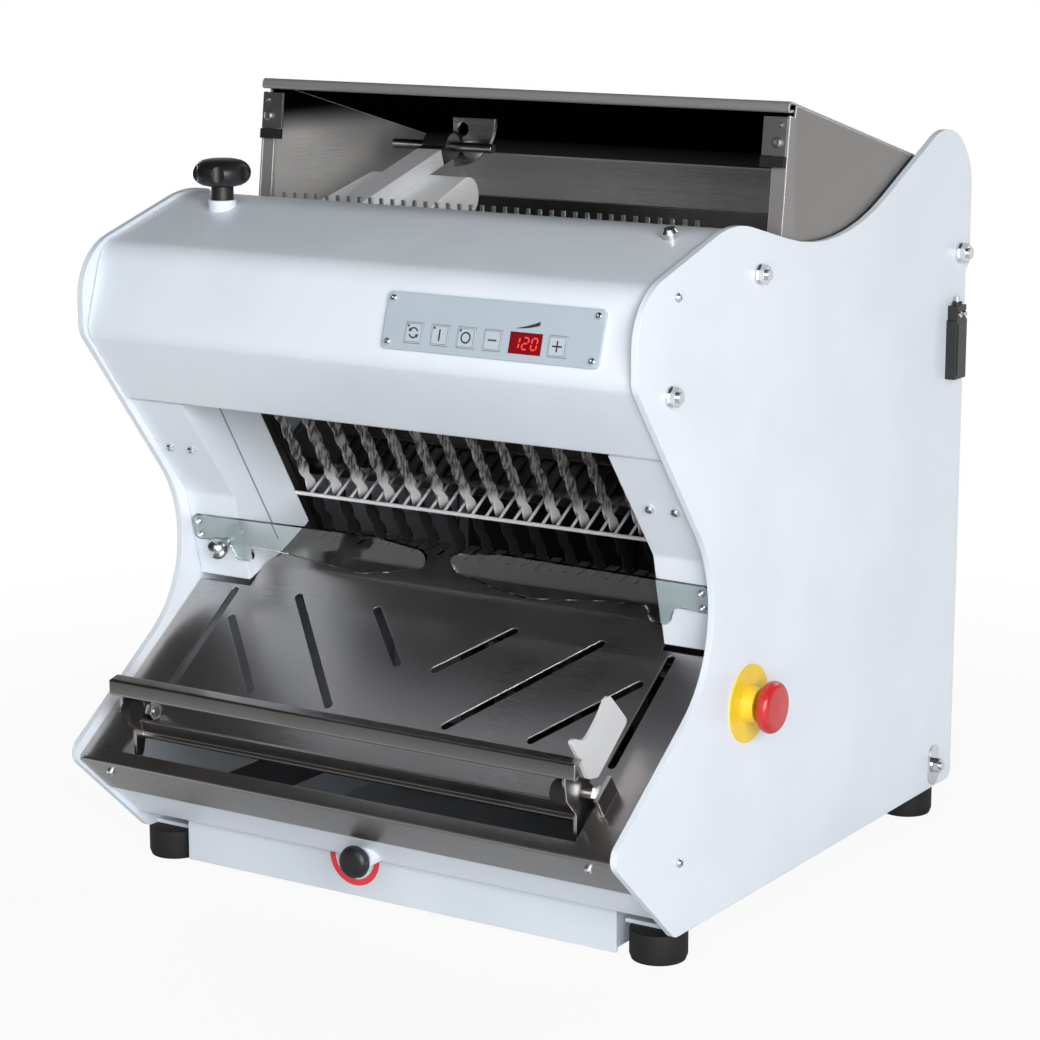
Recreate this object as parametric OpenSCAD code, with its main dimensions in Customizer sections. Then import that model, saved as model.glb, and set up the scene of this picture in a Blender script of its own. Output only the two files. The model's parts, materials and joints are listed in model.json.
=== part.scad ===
// Bench bread slicer: two tilted blade frames driven in opposition, a hinged hopper lid with a
// pusher, a stainless outfeed chute with a folding stop, and a crumb drawer under the base.
// Millimetres. X runs across the machine, Y towards its back, Z up from the floor.

/* [Body] */
// Width over the two side panels
body_w = 500; // [480:1:540]
// Thickness of the side panels
panel_t = 5; // [4:0.5:6]
// Thickness of the painted sheets
sheet_t = 2; // [1.5:0.1:2.5]
// Thickness of the stainless sheets
steel_t = 1.5; // [1:0.1:2]
// Gap where a sheet meets a panel
seam = 0.4; // [0.3:0.05:0.6]
// Height of the rubber feet
foot_h = 23; // [20:1:26]
// Diameter of the rubber feet
foot_d = 44; // [36:1:46]

/* [Side outline] */
// Rear edge of the side panels
rear_y = 278; // [272:1:290]
// Corner at the chute lip, before rounding
tip_y = -293; // [-305:1:-285]
// Height of that corner
tip_z = 106; // [100:1:112]
// Front end of the panel's straight bottom edge
toe_y = -201; // [-210:1:-195]
// Narrowest place of the outline
waist_y = -148.5; // [-152:0.5:-144]
// Corner where the outline leaves the chute for the waist
waist_low = 210; // [204:1:216]
// Corner where it leaves the waist for the hood
waist_top = 291; // [286:1:298]
// Foremost reach of the hood
nose_y = -262.5; // [-272:0.5:-255]
// Corner under the hood's nose
nose_z = 438; // [430:1:446]
// Corner above the hood's nose
brow_z = 500; // [494:1:508]
// Corner of the bump over the hood
bump_y = -125; // [-132:1:-118]
// Height of that corner
bump_z = 541; // [536:1:546]
// Corner of the dip beside the hopper
dip_y = 44; // [36:1:52]
// Height of that corner
dip_z = 499; // [492:1:506]
// Rear reach of the horn that carries the lid hinge
horn_y = 285; // [280:1:295]
// Height of the horn's corner, before rounding
horn_z = 612; // [602:1:620]
// Radius of the horn
horn_r = 80; // [72:1:84]

/* [Blades] */
// Lean of the blades from upright
blade_tilt = 32; // [30:0.5:34]
// Distance between neighbouring blades
blade_pitch = 13.3; // [11:0.1:16]
// Width of a blade across its bulges
blade_w = 12.4; // [10:0.2:13]
// Width of a blade at its necks
blade_neck = 6; // [5:0.2:8]
// Thickness of a blade
blade_t = 0.8; // [0.6:0.1:1.2]
// Length of one scallop
scallop = 20; // [15:1:25]
// Free length of the blades under the loaf line
blade_below = 95; // [90:1:100]
// Free length of the blades over the loaf line
blade_above = 150; // [140:1:156]
// Half of the blade stroke
throw = 10; // [8:0.5:10]

/* [Outfeed] */
// Width of the posts beside the blade opening
post_w = 50; // [46:1:56]
// Depth of the chute under the panel edge
chute_drop = 8; // [6:0.5:10]
// Distance of the skirt from the panels' lower edge
skirt_drop = 2.5; // [2:0.5:5]
// Height of the skirt under the chute lip
skirt_h = 50; // [44:1:54]
// Width of the crumb slots
slot_w = 7; // [5:0.5:9]
// Diameter of the loaf grid wires
wire_d = 2.4; // [2:0.1:3]

/* [Hopper lid] */
// Height of the lid's front lip
lip_z = 621; // [612:1:628]
// Place of the lid's front lip
lip_y = -31; // [-38:1:-24]
// Place of the hinge along the horn
hinge_y = 266; // [262:1:268]
// Height of the hinge
hinge_z = 478; // [474:1:482]
// Diameter of the hinge bolts
hinge_d = 12; // [10:0.5:14]
// Gap between the lid and the side panels
lid_gap = 1.5; // [1:0.1:2]
// Distance of the pusher arm from the left panel
pusher_side = 95; // [85:1:105]
// Length of the pusher arm
pusher_l = 150; // [130:1:156]
// Diameter of the pusher's rod
pusher_rod_d = 8; // [7:0.5:10]

/* [Controls] */
// Width of the control panel
fascia_w = 183; // [178:1:190]
// Height of the control panel
fascia_h = 42; // [40:0.5:43]
// Thickness of the control panel
fascia_t = 3; // [2.5:0.1:4]
// Distance of the control panel from the right end of the hood
fascia_side = 28.1; // [18.1:1:38.1]
// Side of a key
key_w = 15; // [13:0.5:16]
// Travel of a key
key_travel = 0.5; // [0.3:0.1:0.7]
// Diameter of the emergency stop's mushroom head
stop_head_d = 40; // [36:1:44]
// Diameter of the disc behind it
stop_disc_d = 60; // [54:1:66]
// Travel of the emergency stop
stop_travel = 4; // [3:0.5:4.5]

/* [Drawer] */
// Distance of the drawer front from each side panel
drawer_side = 43.5; // [43:0.5:50]
// Length of the drawer
drawer_l = 350; // [300:5:380]
// Gap between the drawer and the floor
drawer_lift = 3; // [3:0.5:6]

/* [Hidden] */
$fn = 48;
arc_step = 5;
run_fit = 0.05;
clear = 0.3;
paint = "white";
steel = "silver";
rubber = [0.1, 0.1, 0.1];

// Plane geometry, in the side view's Y and Z
function unit(v) = v / norm(v);
function turn_left(v) = [-v[1], v[0]];
function cross2(a, b) = a[0] * b[1] - a[1] * b[0];
function flat(c) = [c[0], c[1]];
function meet(p, d, q, e) = p + d * cross2(q - p, e) / cross2(d, e);
function at_height(p, q, z) = p + (q - p) * (z - p[1]) / (q[1] - p[1]);
function at_depth(p, q, y) = p + (q - p) * (y - p[0]) / (q[0] - p[0]);

// Corner b of the line a, b, c, moved to its left by s
function inset(a, b, c, s) =
    let (n1 = turn_left(unit(b - a)), n2 = turn_left(unit(c - b)))
    b + s * (n1 + n2) / (1 + n1 * n2);

// Arc that rounds corner b, limited by the edges beside it
function fillet(a, b, c, r) =
    let (d1 = unit(a - b),
        d2 = unit(c - b),
        half = acos(d1 * d2) / 2,
        q = min(r, 0.58 * min(norm(a - b), norm(c - b)) * tan(half)),
        centre = b + unit(d1 + d2) * q / sin(half),
        start = b + d1 * q / tan(half) - centre,
        first = atan2(start[1], start[0]),
        sweep = (180 - 2 * half) * sign(cross2(b - a, c - b)),
        steps = max(2, ceil(abs(sweep) / arc_step)))
    r <= 0 ? [b] : [for (i = [0:steps])
        let (angle = first + sweep * i / steps) centre + q * [cos(angle), sin(angle)]];

// Closed outline and open path from corners of [y, z, radius]
function rounded(c) = let (n = len(c)) [for (i = [0:n - 1])
    each fillet(flat(c[(i + n - 1) % n]), flat(c[i]), flat(c[(i + 1) % n]), c[i][2])];
function bent(c) = let (n = len(c)) [for (i = [0:n - 1])
    each (i == 0 || i == n - 1) ? [flat(c[i])]
        : fillet(flat(c[i - 1]), flat(c[i]), flat(c[i + 1]), c[i][2])];

// Outline of a path with a sheet's thickness on its left
function sheet_outline(p, t) = let (n = len(p)) concat(p, [for (k = [n - 1:-1:0])
    let (i = max(k, 1),
        j = min(k, n - 2),
        n1 = turn_left(unit(p[i] - p[i - 1])),
        n2 = turn_left(unit(p[j + 1] - p[j])))
    p[k] + t * (n1 + n2) / (1 + n1 * n2)]);

// Main levels and planes
inner = body_w / 2 - panel_t;
sheet_x = inner - seam;
post_x = inner - post_w;
pusher_x = pusher_side - inner;
fascia_x = sheet_x - fascia_side - fascia_w / 2;
drawer_x = inner - drawer_side;
pan_z = foot_h + 16;

tip = [tip_y, tip_z];
toe = [toe_y, foot_h];
waist_a = [waist_y, waist_low];
waist_b = [waist_y, waist_top];
nose = [nose_y, nose_z];
brow = [nose_y, brow_z];
bump = [bump_y, bump_z];
dip = [dip_y, dip_z];
notch_z = hinge_z - 10;
panel_corners = [[rear_y, foot_h, 8], [rear_y, notch_z - 6, 3], [horn_y, notch_z, 3],
    [horn_y, horn_z, horn_r], [dip_y, dip_z, 250], [bump_y, bump_z, 100], [nose_y, brow_z, 75],
    [nose_y, nose_z, 18], [waist_y, waist_top, 95], [waist_y, waist_low, 90],
    [tip_y, tip_z, 12], [toe_y, foot_h, 12]];

// Front hood: follows the panel outline, with a flat for the control panel
hood_in = 3;
hood_seam = 0.9;
hood_low_z = nose_z - 58;
hood_rear_y = bump_y + 50;
fascia_tilt = 17;
fascia_up = [sin(fascia_tilt), cos(fascia_tilt)];
hood_nose = inset(brow, nose, waist_b, hood_in);
hood_bump = inset(dip, bump, brow, hood_in);
hood_brow = meet(hood_nose, fascia_up, hood_bump, brow - bump);
hood_rear = at_depth(hood_bump, hood_bump + dip - bump, hood_rear_y);
hood_foot = at_height(hood_nose, hood_nose + waist_b - nose, hood_low_z);
fascia_at = hood_nose + fascia_up * (fascia_h / 2 + 10);

// Outfeed chute: parallel to the panel edge between its waist and its tip
chute_up = unit(waist_a - tip);
skirt_down = unit(toe - tip);
function lip_at(drop, skirt) = meet(tip + drop * turn_left(-chute_up), chute_up,
    tip + skirt * turn_left(skirt_down), skirt_down);
chute_lip = lip_at(chute_drop, skirt_drop);
chute_bend = at_depth(chute_lip, chute_lip + chute_up, waist_y + 43);
chute_rear = chute_bend + [64, 10.5];
comb_end = chute_rear + [27, 4.4];
apron_gap = steel_t + clear;
apron_lip = lip_at(chute_drop + apron_gap, skirt_drop + apron_gap);

// Blade frames: local Z runs up the blades, local Y across them towards the back
blade_y = waist_y + 101.5;
blade_z = waist_top + 5;
blade_up = [-sin(blade_tilt), cos(blade_tilt)];
blade_side = 2 * floor((post_x - 8) / blade_pitch / 2);
frame_gap = 1.5;
frame_t = 11.5;
frame_y = frame_gap + frame_t / 2;
bar_h = 18;
frame_x0 = post_x + 10;
frame_x1 = frame_x0 + 14;
rod_x = frame_x1 + 11;
rod_d = 8;
rod_low = -blade_below - bar_h - throw - 22;
rod_top = blade_above + bar_h + throw + 22;
cam_r = 22;
cam_x = 30;
cam_t = 12;
shaft_d = 16;
yoke_t = 10;
yoke_play = 0.24 * throw;
crank_drop = blade_below + bar_h + 2 * throw + cam_r + yoke_play + 18;
crank_at = [blade_y, blade_z] - blade_up * crank_drop;
loaf_line = -3.8;

// Drive
motor_r = 62;
motor_lift = 14;
motor_back = 140;
motor_at = [crank_at[0] + motor_back, pan_z + sheet_t + motor_lift + motor_r];
pulley_x = 160;
pulley_t = 20;
driven_r = 38;
drive_r = 19;
motor_shaft_d = 14;

// Lid: its rear follows the horn
lid_x = inner - lid_gap;
horn_mid = [horn_y - horn_r, hinge_z + 8];
function on_horn(angle) = horn_mid + (horn_r - 8) * [cos(angle), sin(angle)];
lid_bends = [on_horn(82), on_horn(49), on_horn(23), on_horn(0)];
lid_lip = [lip_y, lip_z];
roof = unit(lid_bends[0] - lid_lip);
roof_in = turn_left(-roof);
lid_wall_in = steel_t + 0.2;
lid_front_low = [lip_y - 15, hinge_z];
lid_front_top = lid_lip + roof * 3 + roof_in * lid_wall_in;
lid_edge = unit(lid_front_top - lid_front_low);
lid_edge_l = norm(lid_front_top - lid_front_low);
lid_hem = 10;
lid_hem_fold = 9;
lid_notch_low = meet(lid_front_low, lid_edge, lid_lip + roof_in * (lid_hem + 0.6), roof);
pusher_y = lip_y + 123;
pusher_z = hinge_z + 82;
pusher_slope = 16.5;

// Stop on the chute: local Y runs up the chute, local Z out of it
stop_t = 46;
stop_m = 8;
stop_x = post_x + 8;
stop_arm_t = 2.5;
stop_pin_d = 8;
stop_hub_r = 7;
window_low = 8;
window_top = 40;

// Drawer
drawer_top = pan_z - 3.5;
drawer_front = toe_y - 2;
drawer_knob_x = -8;
drawer_knob_z = drawer_top + 11;
drawer_pin_d = 6;
drawer_boss_l = 11;

module across(w, x = 0) {
    translate([x, 0, 0])
        rotate([90, 0, 90])
            linear_extrude(w, center = true)
                children();
}

module folded(corners, t, w, x = 0) {
    across(w, x)
        polygon(sheet_outline(bent(corners), t));
}

module on_blades() {
    translate([0, blade_y, blade_z])
        rotate([blade_tilt, 0, 0])
            children();
}

// Local Y along d in the side view, local Z on its left
module on_line(p, d, x = 0) {
    translate([x, p[0], p[1]])
        rotate([atan2(d[1], d[0]), 0, 0])
            children();
}

module bar(size, at) {
    translate(at)
        cube(size, center = true);
}

module rod_along_x(d, x0, x1, y, z) {
    translate([x0, y, z])
        rotate([0, 90, 0])
            cylinder(d = d, h = x1 - x0);
}

module both_sides() {
    children();
    mirror([1, 0, 0])
        children();
}

module lobed_grip(d, h, lobes) {
    difference() {
        rotate_extrude()
            polygon(concat([[0, 0]],
                [for (a = [-75:15:75]) [d / 2 * pow(cos(a), 0.55), h / 2 * (1 + sin(a))]],
                [[0, h / 2 * (1 + sin(75))]]));
        for (i = [0:lobes - 1])
            rotate([0, 0, 360 / lobes * i])
                translate([d * 0.62, 0, -1])
                    cylinder(d = d * 0.34, h = h + 2);
    }
}

module screw_head(d, h) {
    difference() {
        union() {
            cylinder(d = d, h = h * 0.6);
            translate([0, 0, h * 0.6])
                cylinder(d1 = d, d2 = d * 0.7, h = h * 0.4);
        }
        translate([0, 0, h * 0.5])
            cylinder(d = d * 0.45, h = h, $fn = 6);
    }
}

module hex_bolt(d) {
    cylinder(d = d * 2, h = d * 0.2);
    translate([0, 0, d * 0.2])
        cylinder(d = d * 1.8, h = d * 0.65, $fn = 6);
    translate([0, 0, d * 0.85])
        cylinder(d = d, h = d * 0.3);
}

// Places on the side panels, as [y, z]
bolt_places = [[nose_y + 176, bump_z - 42], [nose_y + 47, nose_z - 11]];
small_places = [at_depth(brow, bump, nose_y + 55) - [0, 20.4], [tip_y + 96, tip_z - 26]];
plate_place = [rear_y - 37, foot_h + 20];
e_stop_at = [waist_y + 55, waist_low - 34];

module side_panel(side) {
    color(paint)
        mirror([side < 0 ? 1 : 0, 0, 0])
            difference() {
                union() {
                    across(panel_t, inner + panel_t / 2)
                        polygon(rounded(panel_corners));
                    bar([44, rear_y - toe_y - 24, 3],
                        [inner - 22 + 0.01, (rear_y + toe_y) / 2, foot_h + 1.5]);
                }
                rod_along_x(hinge_d + 2 * clear, inner - 1, inner + panel_t + 1, hinge_y, hinge_z);
                if (side > 0)
                    rod_along_x(22 + 2 * clear, inner - 1, inner + panel_t + 1, e_stop_at[0], e_stop_at[1]);
            }
}

module left_side_panel() {
    side_panel(-1);
}

module right_side_panel() {
    side_panel(1);
}

// Floor of the machine, open over the drawer, with the drawer's runners under it
module base_pan() {
    pan_front = toe_y + 12;
    pan_rear = rear_y - 8;
    hole_front = pan_front + 10;
    hole_rear = crank_at[0] - 34;
    color(paint)
        union() {
            difference() {
                bar([2 * sheet_x, pan_rear - pan_front, sheet_t],
                    [0, (pan_rear + pan_front) / 2, pan_z + sheet_t / 2]);
                bar([2 * post_x - 30, hole_rear - hole_front, sheet_t + 2],
                    [0, (hole_rear + hole_front) / 2, pan_z + sheet_t / 2]);
            }
            both_sides() {
                runner_x = drawer_x + 3;
                runner_l = drawer_l - 40;
                bar([sheet_t, runner_l, pan_z - foot_h - 3.5],
                    [runner_x + sheet_t / 2, pan_front + 12 + runner_l / 2, (pan_z + foot_h + 3.5) / 2]);
                bar([sheet_t + 6, runner_l, sheet_t],
                    [runner_x + sheet_t - (sheet_t + 6) / 2, pan_front + 12 + runner_l / 2,
                    foot_h + 3.5 + sheet_t / 2]);
            }
        }
}

module rear_cover() {
    cover_y = rear_y - 6;
    cover_top = notch_z - 12;
    cover_low = pan_z + sheet_t + 0.2;
    louvre_w = 90;
    louvre_x = 110;
    louvre_rows = 8;
    louvre_pitch = 14;
    louvre_out = 4;
    louvre_z = [for (i = [0:louvre_rows - 1]) cover_low + 70 + i * louvre_pitch];
    color(paint)
        difference() {
            union() {
                folded([[cover_y - 20, cover_low, 0], [cover_y, cover_low, 4], [cover_y, cover_top, 4],
                    [cover_y - 18, cover_top, 0]], sheet_t, 2 * sheet_x);
                both_sides()
                    bar([sheet_t, 16, cover_top - cover_low - 10],
                        [sheet_x - sheet_t / 2, cover_y - 8.5, (cover_top + cover_low) / 2]);
                for (x = [-louvre_x, louvre_x], z = louvre_z)
                    across(louvre_w + 3, x)
                        polygon([[cover_y - 1, z - 3], [cover_y + louvre_out, z - 3],
                            [cover_y + louvre_out, z - 1], [cover_y - 1, z + 7.5]]);
            }
            for (x = [-louvre_x, louvre_x], z = louvre_z)
                across(louvre_w, x)
                    polygon([[cover_y - sheet_t - 1, z - 3], [cover_y + louvre_out, z - 3],
                        [cover_y + louvre_out, z - 2.4], [cover_y - sheet_t - 1, z + 6.6]]);
            translate([-sheet_x + 60, cover_y + 2, cover_low + 30])
                rotate([90, 0, 0])
                    cylinder(d = 20 + 2 * clear, h = 10);
        }
}

module cable_gland() {
    color(rubber)
        translate([-sheet_x + 60, rear_y - 6, pan_z + sheet_t + 30.2])
            rotate([90, 0, 0])
                difference() {
                    union() {
                        translate([0, 0, -10])
                            cylinder(d = 26, h = 10, $fn = 6);
                        cylinder(d = 20, h = 12);
                        translate([0, 0, -18])
                            cylinder(d1 = 16, d2 = 22, h = 8);
                    }
                    translate([0, 0, -19])
                        cylinder(d = 9, h = 32);
                }
}

// Boss on the hood for the clamping knob
knob_at = at_depth(hood_brow, hood_bump, nose_y + 106);
boss_side = 55;
boss_x = boss_side - inner;
module front_hood() {
    color(paint)
        difference() {
            union() {
                folded([[hood_rear_y, hood_rear[1] - 22, 0], [hood_rear_y, hood_rear[1], 4],
                    [hood_bump[0], hood_bump[1], 97], [hood_brow[0], hood_brow[1], 25],
                    [hood_nose[0], hood_nose[1], 16], [hood_foot[0], hood_foot[1], 4],
                    [hood_foot[0] + 14, hood_foot[1], 0]], sheet_t, 2 * (inner - hood_seam));
                translate([boss_x, knob_at[0], knob_at[1] - 12])
                    cylinder(d = 22, h = 18);
            }
            translate([boss_x, knob_at[0], knob_at[1] - 13])
                cylinder(d = 8 + 2 * run_fit, h = 20);
        }
}

module hood_knob() {
    color(rubber)
        translate([boss_x, knob_at[0], knob_at[1] + 6 + clear]) {
            translate([0, 0, -16])
                cylinder(d = 8, h = 17);
            cylinder(d = 18, h = 13);
            translate([0, 0, 10])
                lobed_grip(46, 22, 6);
        }
}

// Catch knob of the drawer: axis towards the front, from a boss on the apron
knob_base = at_height(apron_lip, apron_lip + skirt_down, drawer_knob_z);
module on_drawer_knob(behind) {
    translate([drawer_knob_x, knob_base[0] + behind, drawer_knob_z])
        rotate([90, 0, 0])
            children();
}

// Painted sheet behind the chute's skirt, down to the base
module front_apron() {
    slope_top = apron_lip + skirt_down * (skirt_h - 16);
    slope_low = at_height(apron_lip, apron_lip + skirt_down, pan_z);
    color(paint)
        difference() {
            union() {
                folded([[slope_top[0], slope_top[1], 0], [slope_low[0], slope_low[1], 4],
                    [toe_y + 12 - 0.2, pan_z, 0]], sheet_t, 2 * sheet_x);
                on_drawer_knob(9)
                    cylinder(d = 16, h = drawer_boss_l + 9);
            }
            on_drawer_knob(10)
                cylinder(d = drawer_pin_d + 2 * run_fit, h = drawer_boss_l + 20);
        }
}

// Channel beside the blade opening: a front plate and a wall facing the blades
post_in = 6;
post_knee = inset(nose, waist_b, waist_a, post_in);
post_head = at_height(post_knee, post_knee + nose - waist_b, hood_low_z - sheet_t - 0.3);
guard_foot = [waist_y + 20.5, waist_low + 26];
post_foot = meet(post_knee, guard_foot - post_knee, chute_lip, chute_up) + 3 * unit(post_knee - guard_foot);
opening_low = [blade_y, blade_z] - 18 * [cos(blade_tilt), sin(blade_tilt)] - 37 * blade_up;
opening_top = [blade_y, blade_z] - 18 * [cos(blade_tilt), sin(blade_tilt)] + 88 * blade_up;
module post(side) {
    plate = [[post_head[0], post_head[1], 0], [post_knee[0], post_knee[1], 12],
        [post_foot[0], post_foot[1], 0]];
    mid = (post_x + sheet_x) / 2;
    color(paint)
        mirror([side < 0 ? 1 : 0, 0, 0])
            union() {
                folded(plate, sheet_t, sheet_x - post_x, mid);
                across(sheet_t, post_x + sheet_t / 2)
                    polygon(concat(bent(plate), [guard_foot + [51, 2],
                        opening_low, opening_top, [opening_top[0] - 8, post_head[1]]]));
            }
}

module side_posts() {
    post(-1);
    post(1);
}

// Place on the chute: local Y up the chute from its lip, local Z out of it
stop_base = lip_at(chute_drop, chute_drop);
module on_stop() {
    on_line(stop_base, chute_up)
        children();
}

// Outline of a straight slot between two points, with round ends
function slot_outline(p, q, w) = let (turn = atan2(q[1] - p[1], q[0] - p[0])) concat(
    [for (a = [-90:15:90]) q + w / 2 * [cos(turn + a), sin(turn + a)]],
    [for (a = [90:15:270]) p + w / 2 * [cos(turn + a), sin(turn + a)]]);

// Crumb slots on one half of the chute, as pairs of [share of the opening's half, distance up]
slot_ends = [[[0.09, 137], [0.33, 186]], [[0.28, 87], [0.73, 187]], [[0.67, 88], [0.98, 155]],
    [[1.05, 79], [1.05, 183]]];
crumb_slots = [for (s = slot_ends) [for (p = s) [p[0] * post_x, p[1]]]];
module outfeed_chute() {
    skirt_end = chute_lip + skirt_down * skirt_h;
    color(steel)
        union() {
            difference() {
                folded([[comb_end[0], comb_end[1], 0], [chute_bend[0], chute_bend[1], 20],
                    [chute_lip[0], chute_lip[1], 3], [skirt_end[0], skirt_end[1], 0]],
                    steel_t, 2 * sheet_x);
                both_sides()
                    bar([80, 140, 60], [post_x - 1.5 + 40, post_foot[0] - 2 + 70, comb_end[1]]);
                for (i = [-blade_side:blade_side])
                    bar([5, 60, 40], [i * blade_pitch, chute_rear[0] + 30, comb_end[1]]);
                on_stop() {
                    bar([2 * stop_x, window_top - window_low, 20], [0, (window_top + window_low) / 2, 0]);
                    both_sides()
                        bar([10, stop_t + stop_hub_r - window_low, 20],
                            [stop_x + 1, (stop_t + stop_hub_r + window_low) / 2, 0]);
                    both_sides()
                        for (s = crumb_slots)
                            translate([0, 0, -10])
                                linear_extrude(20)
                                    polygon(slot_outline(s[0], s[1], slot_w));
                }
            }
            on_stop()
                both_sides() {
                    bar([3, 24, stop_m + 9], [stop_x + 15.5, stop_t, (stop_m + 9) / 2 - steel_t / 2]);
                    rod_along_x(stop_pin_d, stop_x - 9, stop_x + 15, stop_t, stop_m);
                }
        }
}

module loaf_grid() {
    rear_rod = 58;
    front_rod = -18.8;
    color(steel)
        on_blades()
            union() {
                for (i = [-blade_side:blade_side - 1])
                    translate([(i + 0.5) * blade_pitch, front_rod, loaf_line])
                        rotate([-90, 0, 0])
                            cylinder(d = wire_d, h = rear_rod - front_rod, $fn = 24);
                rod_along_x(wire_d + 0.8, -post_x + 0.4, post_x - 0.4, front_rod, loaf_line);
                rod_along_x(wire_d + 0.8, -post_x + 0.4, post_x - 0.4, rear_rod, loaf_line);
            }
}

// Sloping floor of the hopper, from the blades up to the back
module infeed_bed() {
    top = loaf_line - wire_d / 2 - 0.6;
    bed_low = 20;
    bed_rear = 300;
    rear_h = 57;
    rail_l = 250;
    rail_y = (bed_low + bed_rear) / 2 + 10;
    color(steel)
        on_blades() {
            bed_x = lid_x - steel_t - 4;
            folded([[bed_rear + 0.3 * rear_h, top + rear_h, 0], [bed_rear, top, 6], [bed_low, top, 6],
                [bed_low, top - 14, 0]], steel_t, 2 * bed_x);
            both_sides()
                bar([steel_t, rail_l, 26], [sheet_x - steel_t / 2, rail_y, top - steel_t - 13]);
            both_sides()
                bar([sheet_x - bed_x + 12, rail_l, steel_t],
                    [(sheet_x + bed_x - 12) / 2, rail_y, top - steel_t * 1.3]);
        }
}

// Toothed strip behind the hood's rear flange
module infeed_comb() {
    tooth = 10.6;
    teeth = floor(post_x / tooth);
    strip_t = 1.2;
    strip_y = hood_rear_y + 0.2 + strip_t / 2;
    color(steel)
        union() {
            bar([2 * post_x, strip_t, 20], [0, strip_y, hood_rear[1] - 10]);
            for (i = [-teeth:teeth])
                bar([3.4, strip_t, 10], [i * tooth, strip_y, hood_rear[1] + 3]);
        }
}

// Clear plates that close the foot of the blade opening, on the lower faces of the posts
guard_t = 3;
module on_guard(x) {
    on_line(guard_foot, unit(post_knee - guard_foot), x)
        translate([0, 0, 0.05])
            children();
}

module clear_guards() {
    gap = 9;
    low = 7;
    plate = [[sheet_x - 3, low + 32, 5], [60, low + 35, 30], [gap, low + 28, 8], [gap + 6, low + 14, 8],
        [50, low + 5, 14], [78, low, 20], [sheet_x - 95, low + 8, 24], [sheet_x - 54, low + 10, 8],
        [sheet_x - 64, low - 4, 6], [sheet_x - 42, low - 4, 6], [sheet_x - 36, low + 12, 8],
        [sheet_x - 3, low + 10, 5]];
    color([0.85, 0.9, 0.95, 0.4])
        both_sides()
            on_guard(0)
                linear_extrude(guard_t)
                    polygon(rounded(plate));
}

module guard_knob() {
    color(rubber)
        on_guard(-sheet_x + 35)
            translate([0, 18, guard_t]) {
                cylinder(d = 8, h = 6);
                translate([0, 0, 12])
                    sphere(d = 18);
            }
}

// Keys on the control panel, by their distance from its left end
key_places = [26.5, 49, 71.5, 94, 148];
display_place = 121.5;
key_row = -8;
module on_fascia(x, up = 0, out = 0) {
    on_line(fascia_at, fascia_up, fascia_x - fascia_w / 2 + x)
        translate([0, up, out + 0.05])
            children();
}

module control_panel() {
    color([0.78, 0.85, 0.9])
        difference() {
            on_fascia(fascia_w / 2)
                linear_extrude(fascia_t)
                    polygon(rounded([for (c = [[-1, -1], [1, -1], [1, 1], [-1, 1]])
                        [c[0] * fascia_w / 2, c[1] * fascia_h / 2, 4]]));
            for (x = key_places)
                on_fascia(x, key_row, 1.5)
                    cube([key_w + 2 * clear, key_w + 2 * clear, 4], center = true);
            on_fascia(display_place, key_row, 2)
                cube([27, key_w + 2 * clear, 6], center = true);
        }
}

module display_window() {
    color([0.5, 0.02, 0.03])
        on_fascia(display_place, key_row, fascia_t / 2)
            cube([27 - 0.1, key_w + 2 * clear - 0.1, fascia_t], center = true);
}

module key(i) {
    color([0.85, 0.9, 0.93])
        on_fascia(key_places[i], key_row, key_travel + 0.2)
            linear_extrude(fascia_t - key_travel + 0.2)
                square(key_w, center = true);
}

module mode_key() {
    key(0);
}

module start_key() {
    key(1);
}

module stop_key() {
    key(2);
}

module minus_key() {
    key(3);
}

module plus_key() {
    key(4);
}

// Emergency stop on the right panel
module on_e_stop(x) {
    translate([inner + panel_t + x, e_stop_at[0], e_stop_at[1]])
        rotate([0, 90, 0])
            children();
}

module e_stop_disc() {
    color("gold")
        on_e_stop(0)
            difference() {
                cylinder(d = stop_disc_d, h = 1.5);
                translate([0, 0, -1])
                    cylinder(d = 22 + 2 * clear, h = 4);
            }
}

module e_stop_collar() {
    color(rubber)
        on_e_stop(0)
            difference() {
                union() {
                    translate([0, 0, -panel_t - 10])
                        cylinder(d = 22, h = panel_t + 12);
                    translate([0, 0, 1.5])
                        cylinder(d1 = 30, d2 = 26, h = 9);
                }
                translate([0, 0, -panel_t - 11])
                    cylinder(d = 16 + 2 * run_fit, h = panel_t + 24);
            }
}

module e_stop_plunger() {
    color(rubber)
        on_e_stop(0) {
            translate([0, 0, -panel_t - 8])
                cylinder(d = 16, h = panel_t + 22);
            cylinder(d = 10, h = 22);
        }
}

module e_stop_head() {
    color("red")
        on_e_stop(10.5 + stop_travel + 0.5)
            difference() {
                rotate_extrude()
                    polygon(concat([[0, 0], [stop_head_d / 2 - 5, 0]],
                        [for (a = [-60:15:75]) [stop_head_d / 2 - 5 + 5 * cos(a), 5.6 + 5.6 * sin(a)]],
                        [[0, 12]]));
                translate([0, 0, -1])
                    cylinder(d = 10 + 2 * run_fit, h = 9);
            }
}

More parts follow.
